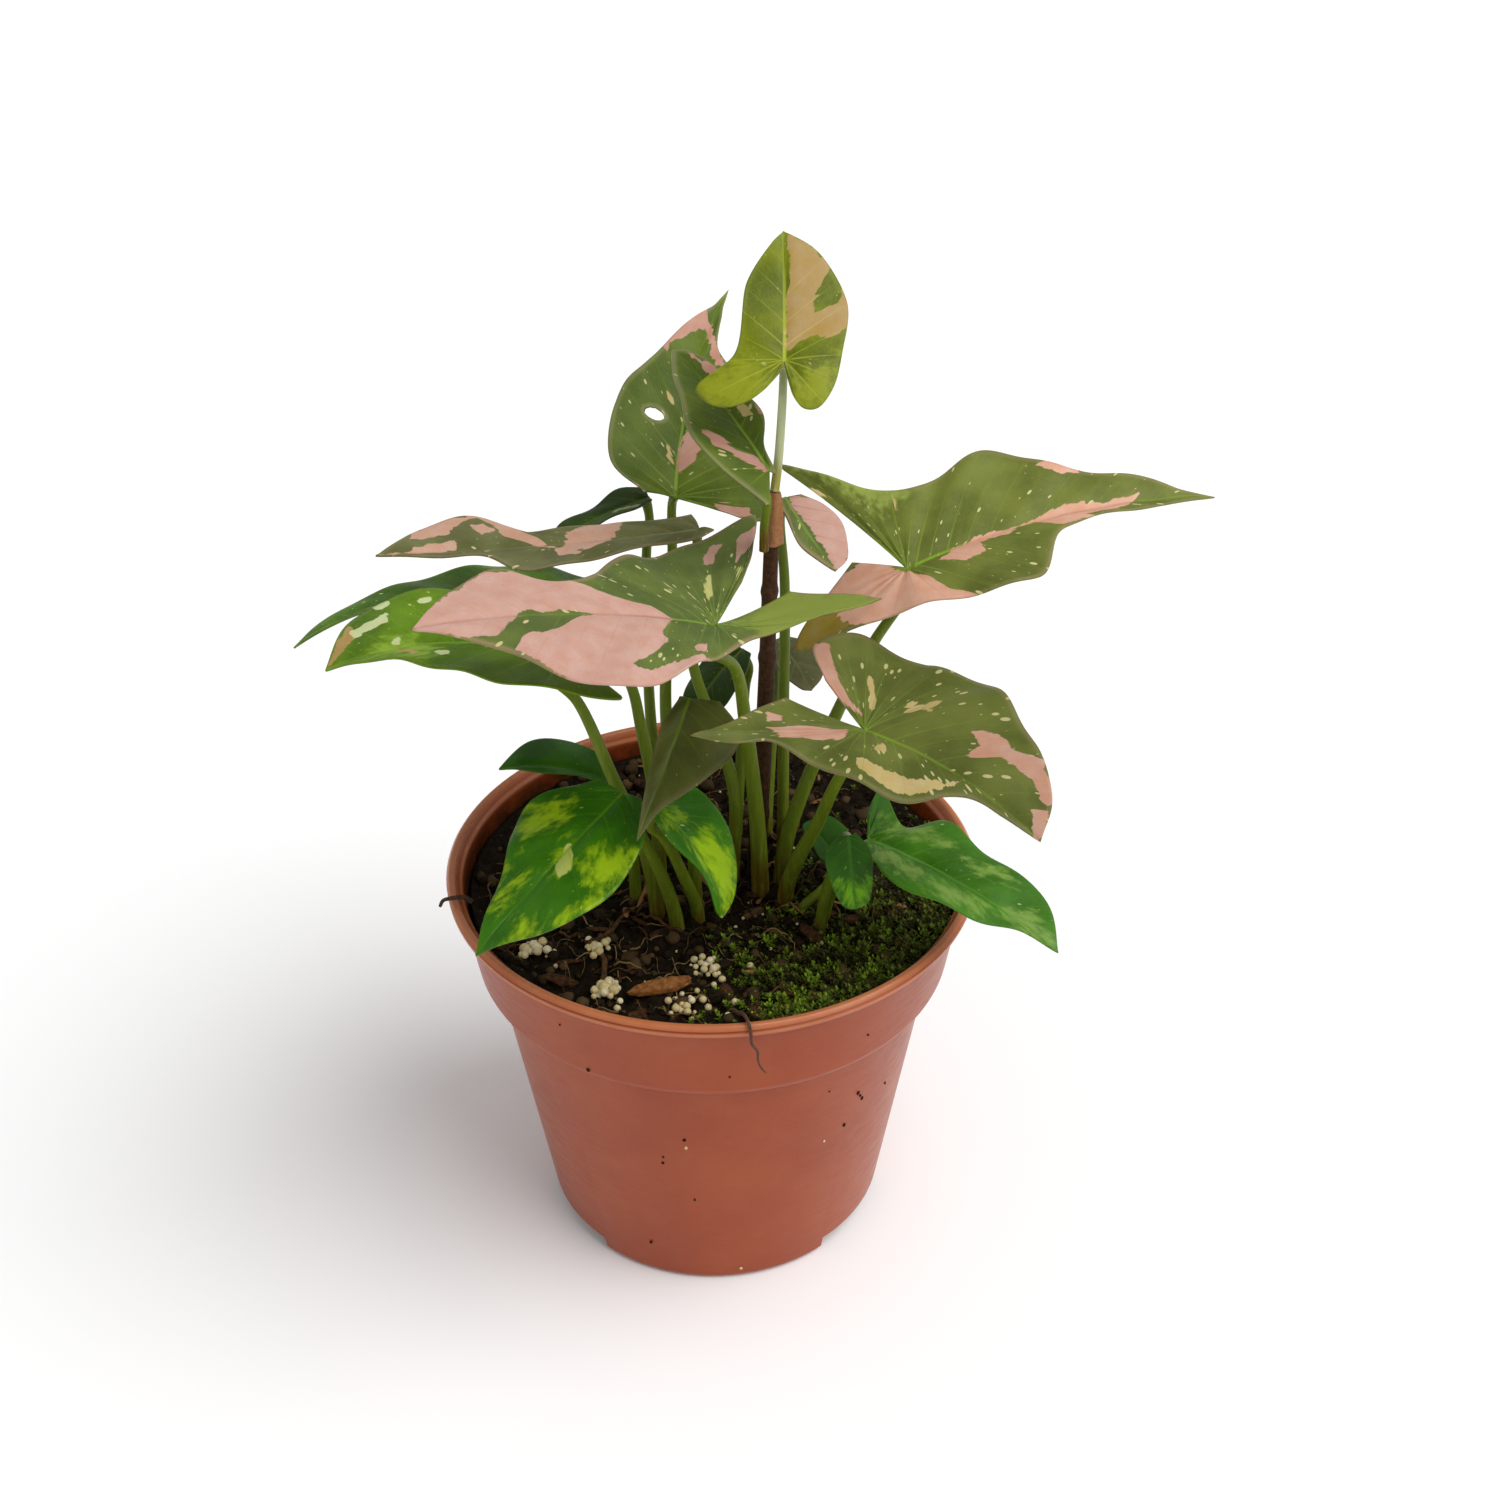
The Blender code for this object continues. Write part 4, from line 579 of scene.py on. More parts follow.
def half_blade(leaf, side_name, side, seed):
    """Points, quads and number fields of one half of a blade's middle surface."""
    grid, vein_number = vein_grid(leaf, side_name)
    rows, columns = grid.shape[:2]
    flat = grid.reshape(-1, 2)
    quads = grid_faces(rows, columns)
    to_hole = np.full(len(flat), FAR)
    if side == 1 and "window" in leaf:
        flat, quads, to_hole = open_window(flat, quads, leaf["window"])
    share = np.repeat(np.linspace(0, 1, rows), columns)
    number = np.tile(vein_number, rows)
    along, across = flat.T
    # waved margin, swells between the veins, sunken midrib, and a rumple of its own
    size, wave = relief_size(leaf), leaf["form"][3]
    round_the_blade = np.sin(math.pi * number / vein_number[-1])
    lift = wave * share ** 2 * np.sin(number * WAVE_TURN + side) * round_the_blade
    lift += QUILT * size * np.sin(math.pi * number / 2) ** 2 * np.sin(math.pi * share ** 0.7)
    lift -= MIDRIB_DIP * size * np.exp(-(across / (1.6 * size)) ** 2) * (along > 0)
    rumple = np.sin(along / 6.1 + seed) * np.sin(across / 4.7 + 2.1 * seed)
    lift += RUMPLE * size * share * rumple * round_the_blade
    places = leaf_points(leaf, along, across, side) + np.outer(lift, leaf_frame(leaf)[2])
    gap = np.linalg.norm(np.gradient(grid, axis=1), axis=-1).ravel() * REFINE
    ray = np.tile(np.linalg.norm(grid[-1] - grid[0], axis=-1), rows)
    nearest = np.round(number)
    fields = {
        "grain": np.stack([number * VEIN_SPACING, share * ray, np.full(len(flat), 7.0 * seed + side)], -1),
        "to_vein": np.abs(number - nearest) * gap,
        "vein_size": np.where(nearest % 2 == 0, 1.0, 0.5) * (1 - 0.75 * share),
        "to_midrib": np.where(along > -0.5, across, CLEAR),
        "to_joint": np.linalg.norm(flat, axis=1),
        "to_margin": np.minimum((1 - share) * ray * 0.8, to_hole),
        "speckled": np.full(len(flat), leaf.get("speckled", 1.0)),
        # painted light and shade: how much lighter or darker this leaf, or this half, is drawn
        "tone": np.full(len(flat), leaf.get("tone", 1.0) * leaf.get(side_name + "_tone", 1.0)),
    }
    for kind in ("pink", "pale", "light", "brown"):
        distances = [inside_distance(flat * (1, side), outline) for outline in leaf.get(kind, [])]
        fields[kind] = np.max([np.full(len(flat), -CLEAR), *distances], axis=0)
    return places, quads if side < 0 else quads[:, ::-1], fields


def make_blade(name, leaf, seed, upper, under):
    """One leaf's blade: both halves, welded at the midrib and thickened, replacing its solid."""
    left, left_quads, left_fields = half_blade(leaf, "left", 1, seed)
    right, right_quads, right_fields = half_blade(leaf, "right", -1, seed)
    fields = {key: np.concatenate([values, right_fields[key]]) for key, values in left_fields.items()}
    quads = np.vstack([left_quads, right_quads + len(left)]).tolist()
    blade = make_piece("blade_" + name, np.vstack([left, right]), quads, [upper, under], fields, weld=0.004)
    shell = blade.modifiers.new("Thickness", "SOLIDIFY")
    shell.thickness = BLADE_THICKNESS * MM
    shell.offset = 0
    shell.material_offset = 1
    apply_modifiers(blade)
    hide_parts("leaf_" + name)


def make_petiole(name, leaf, finish, rib_finish):
    """The leaf's stalk: a wide base in the soil, a slim top, and the rib that runs on below the blade."""
    along, _, up = leaf_frame(leaf)
    seat = np.array(leaf["joint"], dtype=float) + along * SEAT_OFFSET
    route = leaf["petiole"] + [tuple(seat - up * PETIOLE_NECK), tuple(seat - up * 0.1)]
    x, y, height = route[0]
    if height < SOIL_CENTRE_HEIGHT + 5:        # all but the two that grow from the sheath
        route = [(x, y, FOOT_BOTTOM)] + route
    foot, top = leaf["radii"]

    def radius_at(share):
        # slimmer towards the top, with a slight swelling just below the blade
        slim = foot + (top - foot) * min(1, share * 1.15)
        return slim * (1 + 0.12 * math.exp(-((share - 0.97) / 0.03) ** 2))

    tube("petiole_" + name, route, radius_at, 16, STALK_STEP, finish, flute=0.03)
    reach = np.linspace(0, RIB_SHARE * leaf["length"], 24)
    thick = RIB_RADIUS * (1 - RIB_TAPER * reach / reach[-1])
    below = MIDRIB_DIP * relief_size(leaf) + 0.75 * thick
    rib_route = leaf_points(leaf, reach, 0 * reach, 1) - np.outer(below, up)
    rib = tube("rib_" + name, [tuple(point) for point in rib_route],
               lambda share: RIB_RADIUS * (1 - RIB_TAPER * share), 10, STALK_STEP, rib_finish)


def rounded_profile(corners, radius, steps=4):
    """Rounds the corners of a (radius, height) profile with small arcs."""
    corners = [Vector(corner) for corner in corners]
    made = [corners[0]]
    for previous, corner, following in zip(corners, corners[1:], corners[2:]):
        before, after = previous - corner, following - corner
        cut = min(radius, 0.45 * before.length, 0.45 * after.length)
        start, end = corner + before.normalized() * cut, corner + after.normalized() * cut
        for step in range(steps + 1):
            share = step / steps
            made.append(start * (1 - share) ** 2 + corner * 2 * share * (1 - share) + end * share ** 2)
    return made + [corners[-1]]


def turned_piece(name, rings, finish, weld=0.01, sharp=50):
    """A closed piece from rings of places, the first and last of which may shrink to a point."""
    faces = grid_faces(len(rings), len(rings[0]), closed=True).tolist()
    return make_piece(name, sum(rings, []), faces, [finish], weld=weld, sharp=sharp, closed=True)


def notch_cutter(name, angle, finish):
    """Cutter that opens the foot ring over one notch."""
    inner, outer = FOOT_RING_INNER_RADIUS - 3.0, BODY_FOOT_RADIUS + 4.0
    turns = np.radians(angle + NOTCH_WIDTH_ANGLE * np.linspace(-0.5, 0.5, 19))
    outline = [turned(inner, 0, turn) for turn in turns] + [turned(outer, 0, turn) for turn in turns[::-1]]
    vertices = [(x, y, height) for height in (-1.0, NOTCH_HEIGHT) for x, y in outline]
    count = len(outline)
    faces = [list(range(count))[::-1], list(range(count, 2 * count))]
    faces += grid_faces(2, count, closed=True).tolist()
    return make_piece(name, vertices, faces, [finish], closed=True)


def make_pot(finish):
    """The moulded pot: rolled lip, wide collar, tapered body, foot ring with notches, drain holes."""
    lip_foot = POT_HEIGHT - LIP_DEPTH + 0.5
    lip_base = POT_RIM_RADIUS - LIP_REACH
    corners = [
        (0, 0), (HUB_RADIUS, 0), (HUB_RADIUS + 1.4, RECESS_HEIGHT),
        (FOOT_RING_INNER_RADIUS - 0.6, RECESS_HEIGHT), (FOOT_RING_INNER_RADIUS, 0),
        (BODY_FOOT_RADIUS - EDGE_ROUND, 0), (BODY_FOOT_RADIUS, EDGE_ROUND), (BODY_TOP_RADIUS, SHOULDER_FOOT),
        (COLLAR_FOOT_RADIUS - 0.6, COLLAR_FOOT_HEIGHT - 0.6),
        (COLLAR_FOOT_RADIUS, COLLAR_FOOT_HEIGHT + 0.6), (COLLAR_TOP_RADIUS, lip_foot),
        (lip_base + 1.9, lip_foot + 0.3), (POT_RIM_RADIUS - 0.1, lip_foot + 1.1),
        (POT_RIM_RADIUS - 0.1, lip_foot + 1.8), (POT_RIM_RADIUS - 0.55, lip_foot + 2.15),
        (POT_RIM_RADIUS, lip_foot + 2.5), (POT_RIM_RADIUS, POT_HEIGHT - 0.9),
        (POT_RIM_RADIUS - 0.7, POT_HEIGHT), (POT_RIM_RADIUS - 1.7, POT_HEIGHT - 0.1),
        (COLLAR_TOP_RADIUS - POT_WALL + 0.8, COLLAR_INSIDE_TOP - 0.4),
        (COLLAR_TOP_RADIUS - POT_WALL, POT_HEIGHT - 2.8), (COLLAR_FOOT_RADIUS - POT_WALL, COLLAR_FOOT_HEIGHT),
        (BODY_TOP_RADIUS - POT_WALL, SHOULDER_FOOT), (BODY_FOOT_RADIUS - POT_WALL, FLOOR_TOP), (0, FLOOR_TOP),
    ]
    rings = [ring(radius, height, POT_SIDES) for radius, height in rounded_profile(corners, 0.7)]
    pot = turned_piece("pot_body", rings, finish)
    cutters = []
    for number, angle in enumerate(NOTCH_ANGLES):
        cutters.append(notch_cutter(f"notch_{number}", angle, finish))
        x, y = turned((HUB_RADIUS + FOOT_RING_INNER_RADIUS) / 2, 0, math.radians(angle))
        route = [(x, y, RECESS_HEIGHT - 2), (x, y, FLOOR_TOP + 2)]
        cutters.append(tube(f"drain_{number}", route, lambda _: DRAIN_RADIUS, 24, 2, finish))
    for cutter in cutters:
        cut = pot.modifiers.new("Cut", "BOOLEAN")
        cut.operation = "DIFFERENCE"
        cut.object = cutter
    apply_modifiers(pot)
    for cutter in cutters:
        bpy.data.objects.remove(cutter)
    # the cuts leave a few slivers between points closer than 0.002 mm
    work = bmesh.new()
    work.from_mesh(pot.data)
    bmesh.ops.dissolve_degenerate(work, edges=work.edges, dist=0.002 * MM)
    work.to_mesh(pot.data)
    work.free()
    pot.data.shade_smooth()
    pot.data.set_sharp_from_angle(angle=math.radians(50))
    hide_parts("pot")


def soil_edge():
    """Radius of the soil where its top meets the collar."""
    height = SOIL_CENTRE_HEIGHT - SOIL_EDGE_DROP
    share = (height - COLLAR_FOOT_HEIGHT) / (COLLAR_INSIDE_TOP - COLLAR_FOOT_HEIGHT)
    return COLLAR_FOOT_RADIUS + (COLLAR_TOP_RADIUS - COLLAR_FOOT_RADIUS) * share - POT_WALL - GAP


def soil_height(x, y):
    """Height of the lumpy top of the soil."""
    distance = math.hypot(x, y) / soil_edge()
    lumps = noise.noise(Vector((x, y, 7.0)) / SOIL_LUMP_SIZE)
    return SOIL_CENTRE_HEIGHT - SOIL_EDGE_DROP * distance ** 4 + SOIL_LUMP * lumps * (1 - distance ** 6)


def crumb_height(x, y):
    """Height of the soil with its crumbs: clods of peat a few millimetres wide, banked up at the wall."""
    clods = noise.noise(Vector((x, y, 3.0)) / 3.0) * 1.9
    crumbs = noise.noise(Vector((x, y, 5.0)) / 1.3) * 0.9
    grit = noise.noise(Vector((x, y, 9.0)) / 0.6) * 0.35
    distance = math.hypot(x, y) / soil_edge()
    bank = 2.6 * max(0.0, (distance - 0.84) / 0.16) ** 1.5
    return soil_height(x, y) + bank + (clods + crumbs + grit) * min(1.0, (1 - distance) * 9 + 0.25)


def make_soil(finish):
    """The peat: a fine, crumbly top on the plain body that fills the pot."""
    body = [(0, FLOOR_TOP + GAP), (BODY_FOOT_RADIUS - POT_WALL - GAP, FLOOR_TOP + GAP),
            (BODY_TOP_RADIUS - POT_WALL - GAP, SHOULDER_FOOT),
            (COLLAR_FOOT_RADIUS - POT_WALL - GAP, COLLAR_FOOT_HEIGHT + 0.4)]
    rings = [ring(radius, height, SOIL_SIDES) for radius, height in body]
    for radius in np.linspace(soil_edge(), 0, SOIL_RINGS):
        rings.append([(x, y, crumb_height(x, y)) for x, y, _ in ring(radius, 0, SOIL_SIDES)])
    soil = turned_piece("peat", rings, finish, sharp=180)
    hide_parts("soil")


# Unevenness of a ball 1 mm in radius: depth and closeness of its coarse and its fine waves
ROUGH = ((0.38, 1.2), (0.16, 3.1))
NEARLY_ROUND = ((0.1, 0.9), (0.03, 3.5))


def lump(random, middle, size, squash=1.0, detail=2, grain=False):
    """Vertices and faces of one rough, rounded lump, or of a nearly round grain."""
    shift = Vector(random.uniform(-50, 50, 3))
    turn, reach, waves = Matrix.Identity(3), size, NEARLY_ROUND
    if not grain:
        turn = Matrix.Rotation(random.uniform(0, 6.28), 3, Vector(random.uniform(-1, 1, 3)).normalized())
        reach, waves = 1.0, ROUGH
    work = bmesh.new()
    bmesh.ops.create_icosphere(work, subdivisions=detail, radius=1.0)
    made = []
    for vertex in work.verts:
        rough = 1 + sum(depth * noise.noise(vertex.co * reach * close + shift) for depth, close in waves)
        place = turn @ (vertex.co * rough * size)
        made.append((middle[0] + place.x, middle[1] + place.y, middle[2] + place.z * squash))
    faces = [[corner.index for corner in face.verts] for face in work.faces]
    work.free()
    return made, faces


def grain_part(random, middle, size):
    """One grain with a tint number, ready to be gathered."""
    return (*lump(random, middle, size, detail=2 if size < 0.6 else 3, grain=True), random.uniform(0, 1))


def gather(name, parts, finish):
    """One object from many parts: the vertices, the faces and the tint number of each."""
    vertices, faces, shades = [], [], []
    for made, polygons, tint in parts:
        faces += [[corner + len(vertices) for corner in face] for face in polygons]
        vertices += made
        shades += [tint] * len(made)
    return make_piece(name, vertices, faces, [finish], {"tint": shades})


def strand(random, start, heading, length, radius, sides=4, lift=0.6, wander=0.5):
    """A thin fibre that wanders over the soil and turns back at the pot's wall."""
    place = np.array(start, dtype=float)
    steps = max(4, int(length / FIBRE_STEP))
    route = []
    for step in range(steps + 1):
        arch = lift * math.sin(math.pi * step / steps)
        route.append((*place, crumb_height(*place) + radius + arch))
        heading += random.uniform(-wander, wander)
        place = place + FIBRE_STEP * np.array([math.cos(heading), math.sin(heading)])
        if math.hypot(*place) > soil_edge() - 1.5:
            heading += 1.2
            place = place * (soil_edge() - 1.6) / math.hypot(*place)
    path = smooth_curve(route, 2 * steps)
    radii = radius * (1 - 0.6 * np.arange(len(path)) / len(path))
    return stalk_shape(path, radii.tolist(), sides, carried=False)


def on_soil(random, margin=1.5):
    """A random place on the open soil."""
    reach = (soil_edge() - margin) * math.sqrt(random.uniform(0, 1))
    return turned(reach, 0, random.uniform(0, FULL_TURN))


# Thicker dead roots on the front left of the soil: start, heading in radians, length, radius
OLD_ROOTS = [((-22, -38), 1.75, 24, 0.75), ((-24, -22), 0.75, 16, 0.6), ((-5, -20), 2.9, 15, 0.55),
             ((12, -40), 0.35, 13, 0.3), ((20, -43), 0.7, 12, 0.25), ((-40, -10), 1.2, 15, 0.4)]


def make_litter(crumb_finish, fibre_finish, wood_finish):
    """Crumbs of peat, root fibres and slivers of wood that lie on the soil."""
    random = np.random.default_rng(11)
    crumbs = []
    for _ in range(CRUMBS):
        x, y = on_soil(random)
        size = 0.35 + 1.5 * random.uniform(0, 1) ** 4
        middle = (x, y, crumb_height(x, y) + 0.3 * size)
        crumbs.append((*lump(random, middle, size, 0.8, 1 if size < 0.9 else 2), random.uniform(0, 1)))
    gather("peat_crumbs", crumbs, crumb_finish)
    fibres = []
    for _ in range(FIBRES):
        fibre = strand(random, on_soil(random, 4), random.uniform(0, 6.28), random.uniform(4, 17),
                       random.uniform(0.08, 0.24), lift=random.uniform(0.2, 2.0))
        fibres.append((*fibre, random.uniform(0, 1)))
    for start, heading, length, radius in OLD_ROOTS:
        fibres.append((*strand(random, start, heading, length, radius, 8, 0.9, 0.22), 0.15))
    gather("root_fibres", fibres, fibre_finish)
    slivers = []
    for number in range(SLIVERS):
        x, y = on_soil(random, 4)
        made, faces = lump(random, (0, 0, 0), 1.0)
        turn = random.uniform(0, 6.28)
        chunk = number % 3 == 0
        long, wide = random.uniform(1.2, 4.2), random.uniform(0.9, 1.7) if chunk else random.uniform(0.3, 0.8)
        tilt = random.uniform(-0.4, 0.4)
        placed = []
        for px, py, pz in made:
            aside, ahead = turned(px * long, py * wide, turn)
            height = crumb_height(x, y) + 0.5 + pz * wide * 0.6 + px * long * tilt
            placed.append((x + aside, y + ahead, height))
        slivers.append((placed, faces, random.uniform(0, 1) * (0.4 if chunk else 1.0)))
    gather("wood_slivers", slivers, wood_finish)


def moss_cover(x, y):
    """How thick the moss stands at a place: 1 on the mat, 0 on bare soil, thinning out towards the stems."""
    angle = math.degrees(math.atan2(y, x))
    distance = math.hypot(x, y)
    first, last = MOSS_ANGLES
    # the full mat has a ragged edge
    inside = min(angle - first, last - angle) / 9
    ragged = 0.9 * noise.noise(Vector((x, y, 2.0)) / 5.0)
    # thin tufts reach further round, and nearer to the stems
    thin = min((angle - first + 16) / 12, (distance - 17) / 4, (last + 30 - angle) / 12)
    thin = min(0.22, 0.22 * thin) + 0.25 * noise.noise(Vector((x, y, 8.0)) / 3.0)
    return max(0.0, min(1.0, max(min(inside, (distance - 32) / 3) + ragged, thin)))


def make_moss(finish):
    """A mat of short leafy shoots over the front right of the soil, with taller sprigs among them."""
    random = np.random.default_rng(23)
    vertices, faces, tints, heights = [], [], [], []
    shoots = 0
    while shoots < MOSS_SHOOTS:
        x, y = on_soil(random, 0.4)
        cover = moss_cover(x, y)
        if random.uniform(0, 1) > cover:
            continue
        shoots += 1
        foot = np.array([x, y, crumb_height(x, y) - 0.2])
        sprig = random.uniform(0, 1) < SPRIG_SHARE
        tall = random.uniform(0.7, 1.9) * (0.5 + 0.5 * cover) * (2.0 if sprig else 1.0)
        lean = random.uniform(-1, 1, 2) * (1.0 if sprig else 0.45)
        tint = 0.42 + 0.75 * noise.noise(Vector((x, y, 40.0)) / 7.0) + random.uniform(-0.3, 0.3)
        tint = tint + (0.35 if sprig else 0.0) - 0.35 * min(1.0, max(0.0, (x - 18) / 12))
        leaves = 15 if sprig else 10
        for leaf in range(leaves):
            share = leaf / (leaves - 1)
            base = foot + np.array([*lean, 1.0]) * share * tall
            turn = SPIRAL_TURN * leaf + random.uniform(-0.3, 0.3)
            long, wide = random.uniform(0.6, 1.1) * (1.15 - 0.5 * share), random.uniform(0.13, 0.22)
            if sprig:
                long, wide = 1.7 * long, 1.6 * wide
            rise = 0.25 + 0.75 * share
            ahead = np.array([*turned(math.cos(rise), 0, turn), math.sin(rise)]) * long
            beside = np.array([*turned(0, wide, turn), 0])
            faces.append([len(vertices) + corner for corner in range(4)])
            vertices += [base, base + ahead * 0.45 + beside, base + ahead - (0, 0, 0.12),
                         base + ahead * 0.45 - beside]
            tints += [max(0.0, min(1.0, tint))] * 4
            heights += [share, share, min(1.0, share + 0.3), share]
    mat = make_piece("moss_shoots", vertices, faces, [finish], {"tint": tints, "height": heights}, sharp=180)
    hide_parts("moss")


# Small beads seen singly on the soil, right of the bark chip and along the front
BEADS = [(-3.4, -29.4), (-2.1, -31.8), (-0.8, -30.1), (1.4, -32.5), (0.5, -29.4), (-7.1, -40.5),
         (-5.7, -39.2), (-3.9, -41.2), (-2.5, -39.2), (-1.2, -42.5), (-0.1, -43.4), (1, -37.5),
         (2.7, -35.2), (5.5, -43.4), (4.1, -46.3), (8.6, -30.8), (-8.5, -42.1), (-18.5, -42.5),
         (-19, -45.1), (-3.1, -47.6), (-38.7, -22.9), (-33, -30.5), (-26.5, -21.5)]


def make_granules(finish):
    """The heaps of fertiliser grains, each grain with two small ones beside it, and the stray grains."""
    for seed, (name, (middle, count, spread)) in enumerate(HEAPS.items()):
        random, shapes = np.random.default_rng(seed), np.random.default_rng(100 + seed)
        small = 0.72 if name in ("granules_middle", "granules_front") else 1.0
        parts = []
        for number in range(count):
            turn = SPIRAL_TURN * number + random.uniform(-0.2, 0.2)
            aside, ahead = turned(spread * (number / count) ** 0.5, 0, turn)
            x, y = middle[0] + aside, middle[1] + ahead
            radius = GRANULE_RADIUS * random.uniform(0.9, 1.1)
            height = soil_height(x, y) + GAP + 0.5 + radius * 0.8
            size = radius * shapes.uniform(0.6, 0.82) * small
            parts.append(grain_part(shapes, (x, y, height), size))
            for _ in range(2):
                aside, ahead = turned(1.5, 0, shapes.uniform(0, 6.28))
                size = radius * shapes.uniform(0.36, 0.6) * small
                parts.append(grain_part(shapes, (x + aside, y + ahead, height - 0.5), size))
        grains = gather(name + "_fine", parts, finish)
        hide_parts(name)
    random = np.random.default_rng(77)
    parts = []
    for number in range(len(BEADS) + SMALL_BEADS):
        seen = number < len(BEADS)
        x, y = BEADS[number] if seen else on_soil(random, 4)
        size = random.uniform(0.55, 0.85) if seen else random.uniform(0.2, 0.5)
        parts.append(grain_part(random, (x, y, crumb_height(x, y) + size * (0.7 if seen else 0.5)), size))
    gather("stray_grains", parts, finish)


# Specks on the pot's wall: turn about the axis, height, half size, and how dark (1) or light (0)
SPECKS = [(-118.2, 71.7, 0.5, 1), (-47.2, 53.9, 0.55, 1), (-46.0, 52.4, 0.4, 1), (-44.9, 50.9, 0.45, 1),
          (-33.7, 48.8, 0.35, 1), (-50.4, 45.0, 0.45, 1), (-96.9, 51.1, 0.4, 1), (-103.3, 42.1, 0.4, 1),
          (-103.1, 44.2, 0.3, 1), (-94.9, 30.0, 0.3, 1), (-110.4, 11.3, 0.4, 1), (-52.4, 77.9, 0.3, 1),
          (-85.3, 75.9, 0.25, 1), (-96.5, 48.4, 0.4, 0), (-57.1, 42.9, 0.35, 0), (-80.7, 3.7, 0.4, 0),
          (-123.7, 83.1, 0.25, 1), (-58.0, 60.0, 0.25, 1), (12.0, 40.0, 0.4, 1), (77.0, 55.0, 0.4, 1),
          (150.0, 33.0, 0.45, 1), (-160.0, 58.0, 0.35, 1), (101.0, 24.0, 0.3, 1), (48.0, 66.0, 0.3, 0)]


def wall_radius(height):
    """Outer radius of the pot's wall at a height."""
    heights = (0, SHOULDER_FOOT, COLLAR_FOOT_HEIGHT, POT_HEIGHT - LIP_DEPTH)
    radii = (BODY_FOOT_RADIUS, BODY_TOP_RADIUS, COLLAR_FOOT_RADIUS, COLLAR_TOP_RADIUS)
    return float(np.interp(height, heights, radii))


def make_specks(dark_finish, light_finish):
    """Crumbs of soil and a few light grains that stick to the outside of the pot."""
    random = np.random.default_rng(5)
    for dark, name, finish in ((1, "soil_specks", dark_finish), (0, "light_specks", light_finish)):
        parts = []
        for turn, height, size in (speck[:3] for speck in SPECKS if speck[3] == dark):
            made, faces = lump(random, (0, 0, 0), 1.0, detail=1)
            reach = wall_radius(height) + 0.1 * size
            placed = [(*turned(reach + px * size * 0.4, py * size, math.radians(turn)),
                       height + pz * size * 1.2) for px, py, pz in made]
            parts.append((placed, faces, 0.0))
        gather(name, parts, finish)


def make_chip(finish):
    """The torn chip of bark: layered, with a ragged outline."""
    half_length, half_width, half_height = CHIP_SIZE
    outline = smooth_curve([(-1.05, -0.3), (-0.6, -0.85), (0.3, -0.95), (0.8, -0.5), (1.08, 0.35),
                            (0.6, 0.75), (-0.25, 0.85), (-0.75, 0.45), (-1.05, -0.3)], 97)[:-1]
    ground = soil_height(*CHIP_MIDDLE) + GAP + 0.5
    rings = []
    # size of each layer's outline, and its share of the height
    for scale, rise in ((0.0, 0.0), (0.8, 0.0), (0.95, 0.12), (1.0, 0.3), (0.97, 0.45), (1.0, 0.55),
                        (0.95, 0.68), (0.8, 0.8), (0.55, 0.86), (0.3, 0.9), (0.0, 0.92)):
        layer = []
        for along, across in outline:
            ragged = scale * (1 + 0.07 * noise.noise(Vector((along * 5, across * 4, rise * 4))))
            x, y = along * half_length * ragged, across * half_width * 0.8 * ragged
            ridge = 0.22 * noise.noise(Vector((x * 0.25, y * 1.6, 3.0))) + 0.3 * along * scale
            aside, ahead = turned(x, y, math.radians(CHIP_TURN))
            layer.append((CHIP_MIDDLE[0] + aside, CHIP_MIDDLE[1] + ahead,
                          ground + 2 * half_height * rise + ridge * (rise > 0.5)))
        rings.append(layer)
    chip = turned_piece("bark_chip_fine", rings, finish, weld=0.005, sharp=40)
    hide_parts("bark_chip")


def make_stem(stem_finish, sheath_finish):
    """The woody main stem with its knots, and the papery sheath at its top."""

    def stem_radius(share):
        slim = STEM_RADII[0] + (STEM_RADII[1] - STEM_RADII[0]) * share
        return slim * STEM_SLIMMER + sum(0.3 * math.exp(-((share - knot) / 0.012) ** 2) for knot in KNOTS)

    def sheath_radius(share):
        slim = SHEATH_RADII[0] * (1 - share) + SHEATH_RADII[1] * share
        return slim * (1 - 0.28 * max(0.0, (share - 0.6) / 0.4) ** 2)

    stem = tube("stem_fine", STEM_ROUTE, stem_radius, 28, 0.7, stem_finish, flute=0.035)
    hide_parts("stem")
    sheath = tube("sheath_fine", SHEATH_ROUTE, sheath_radius, 28, 0.5, sheath_finish, flute=0.06)
    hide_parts("stem_sheath")


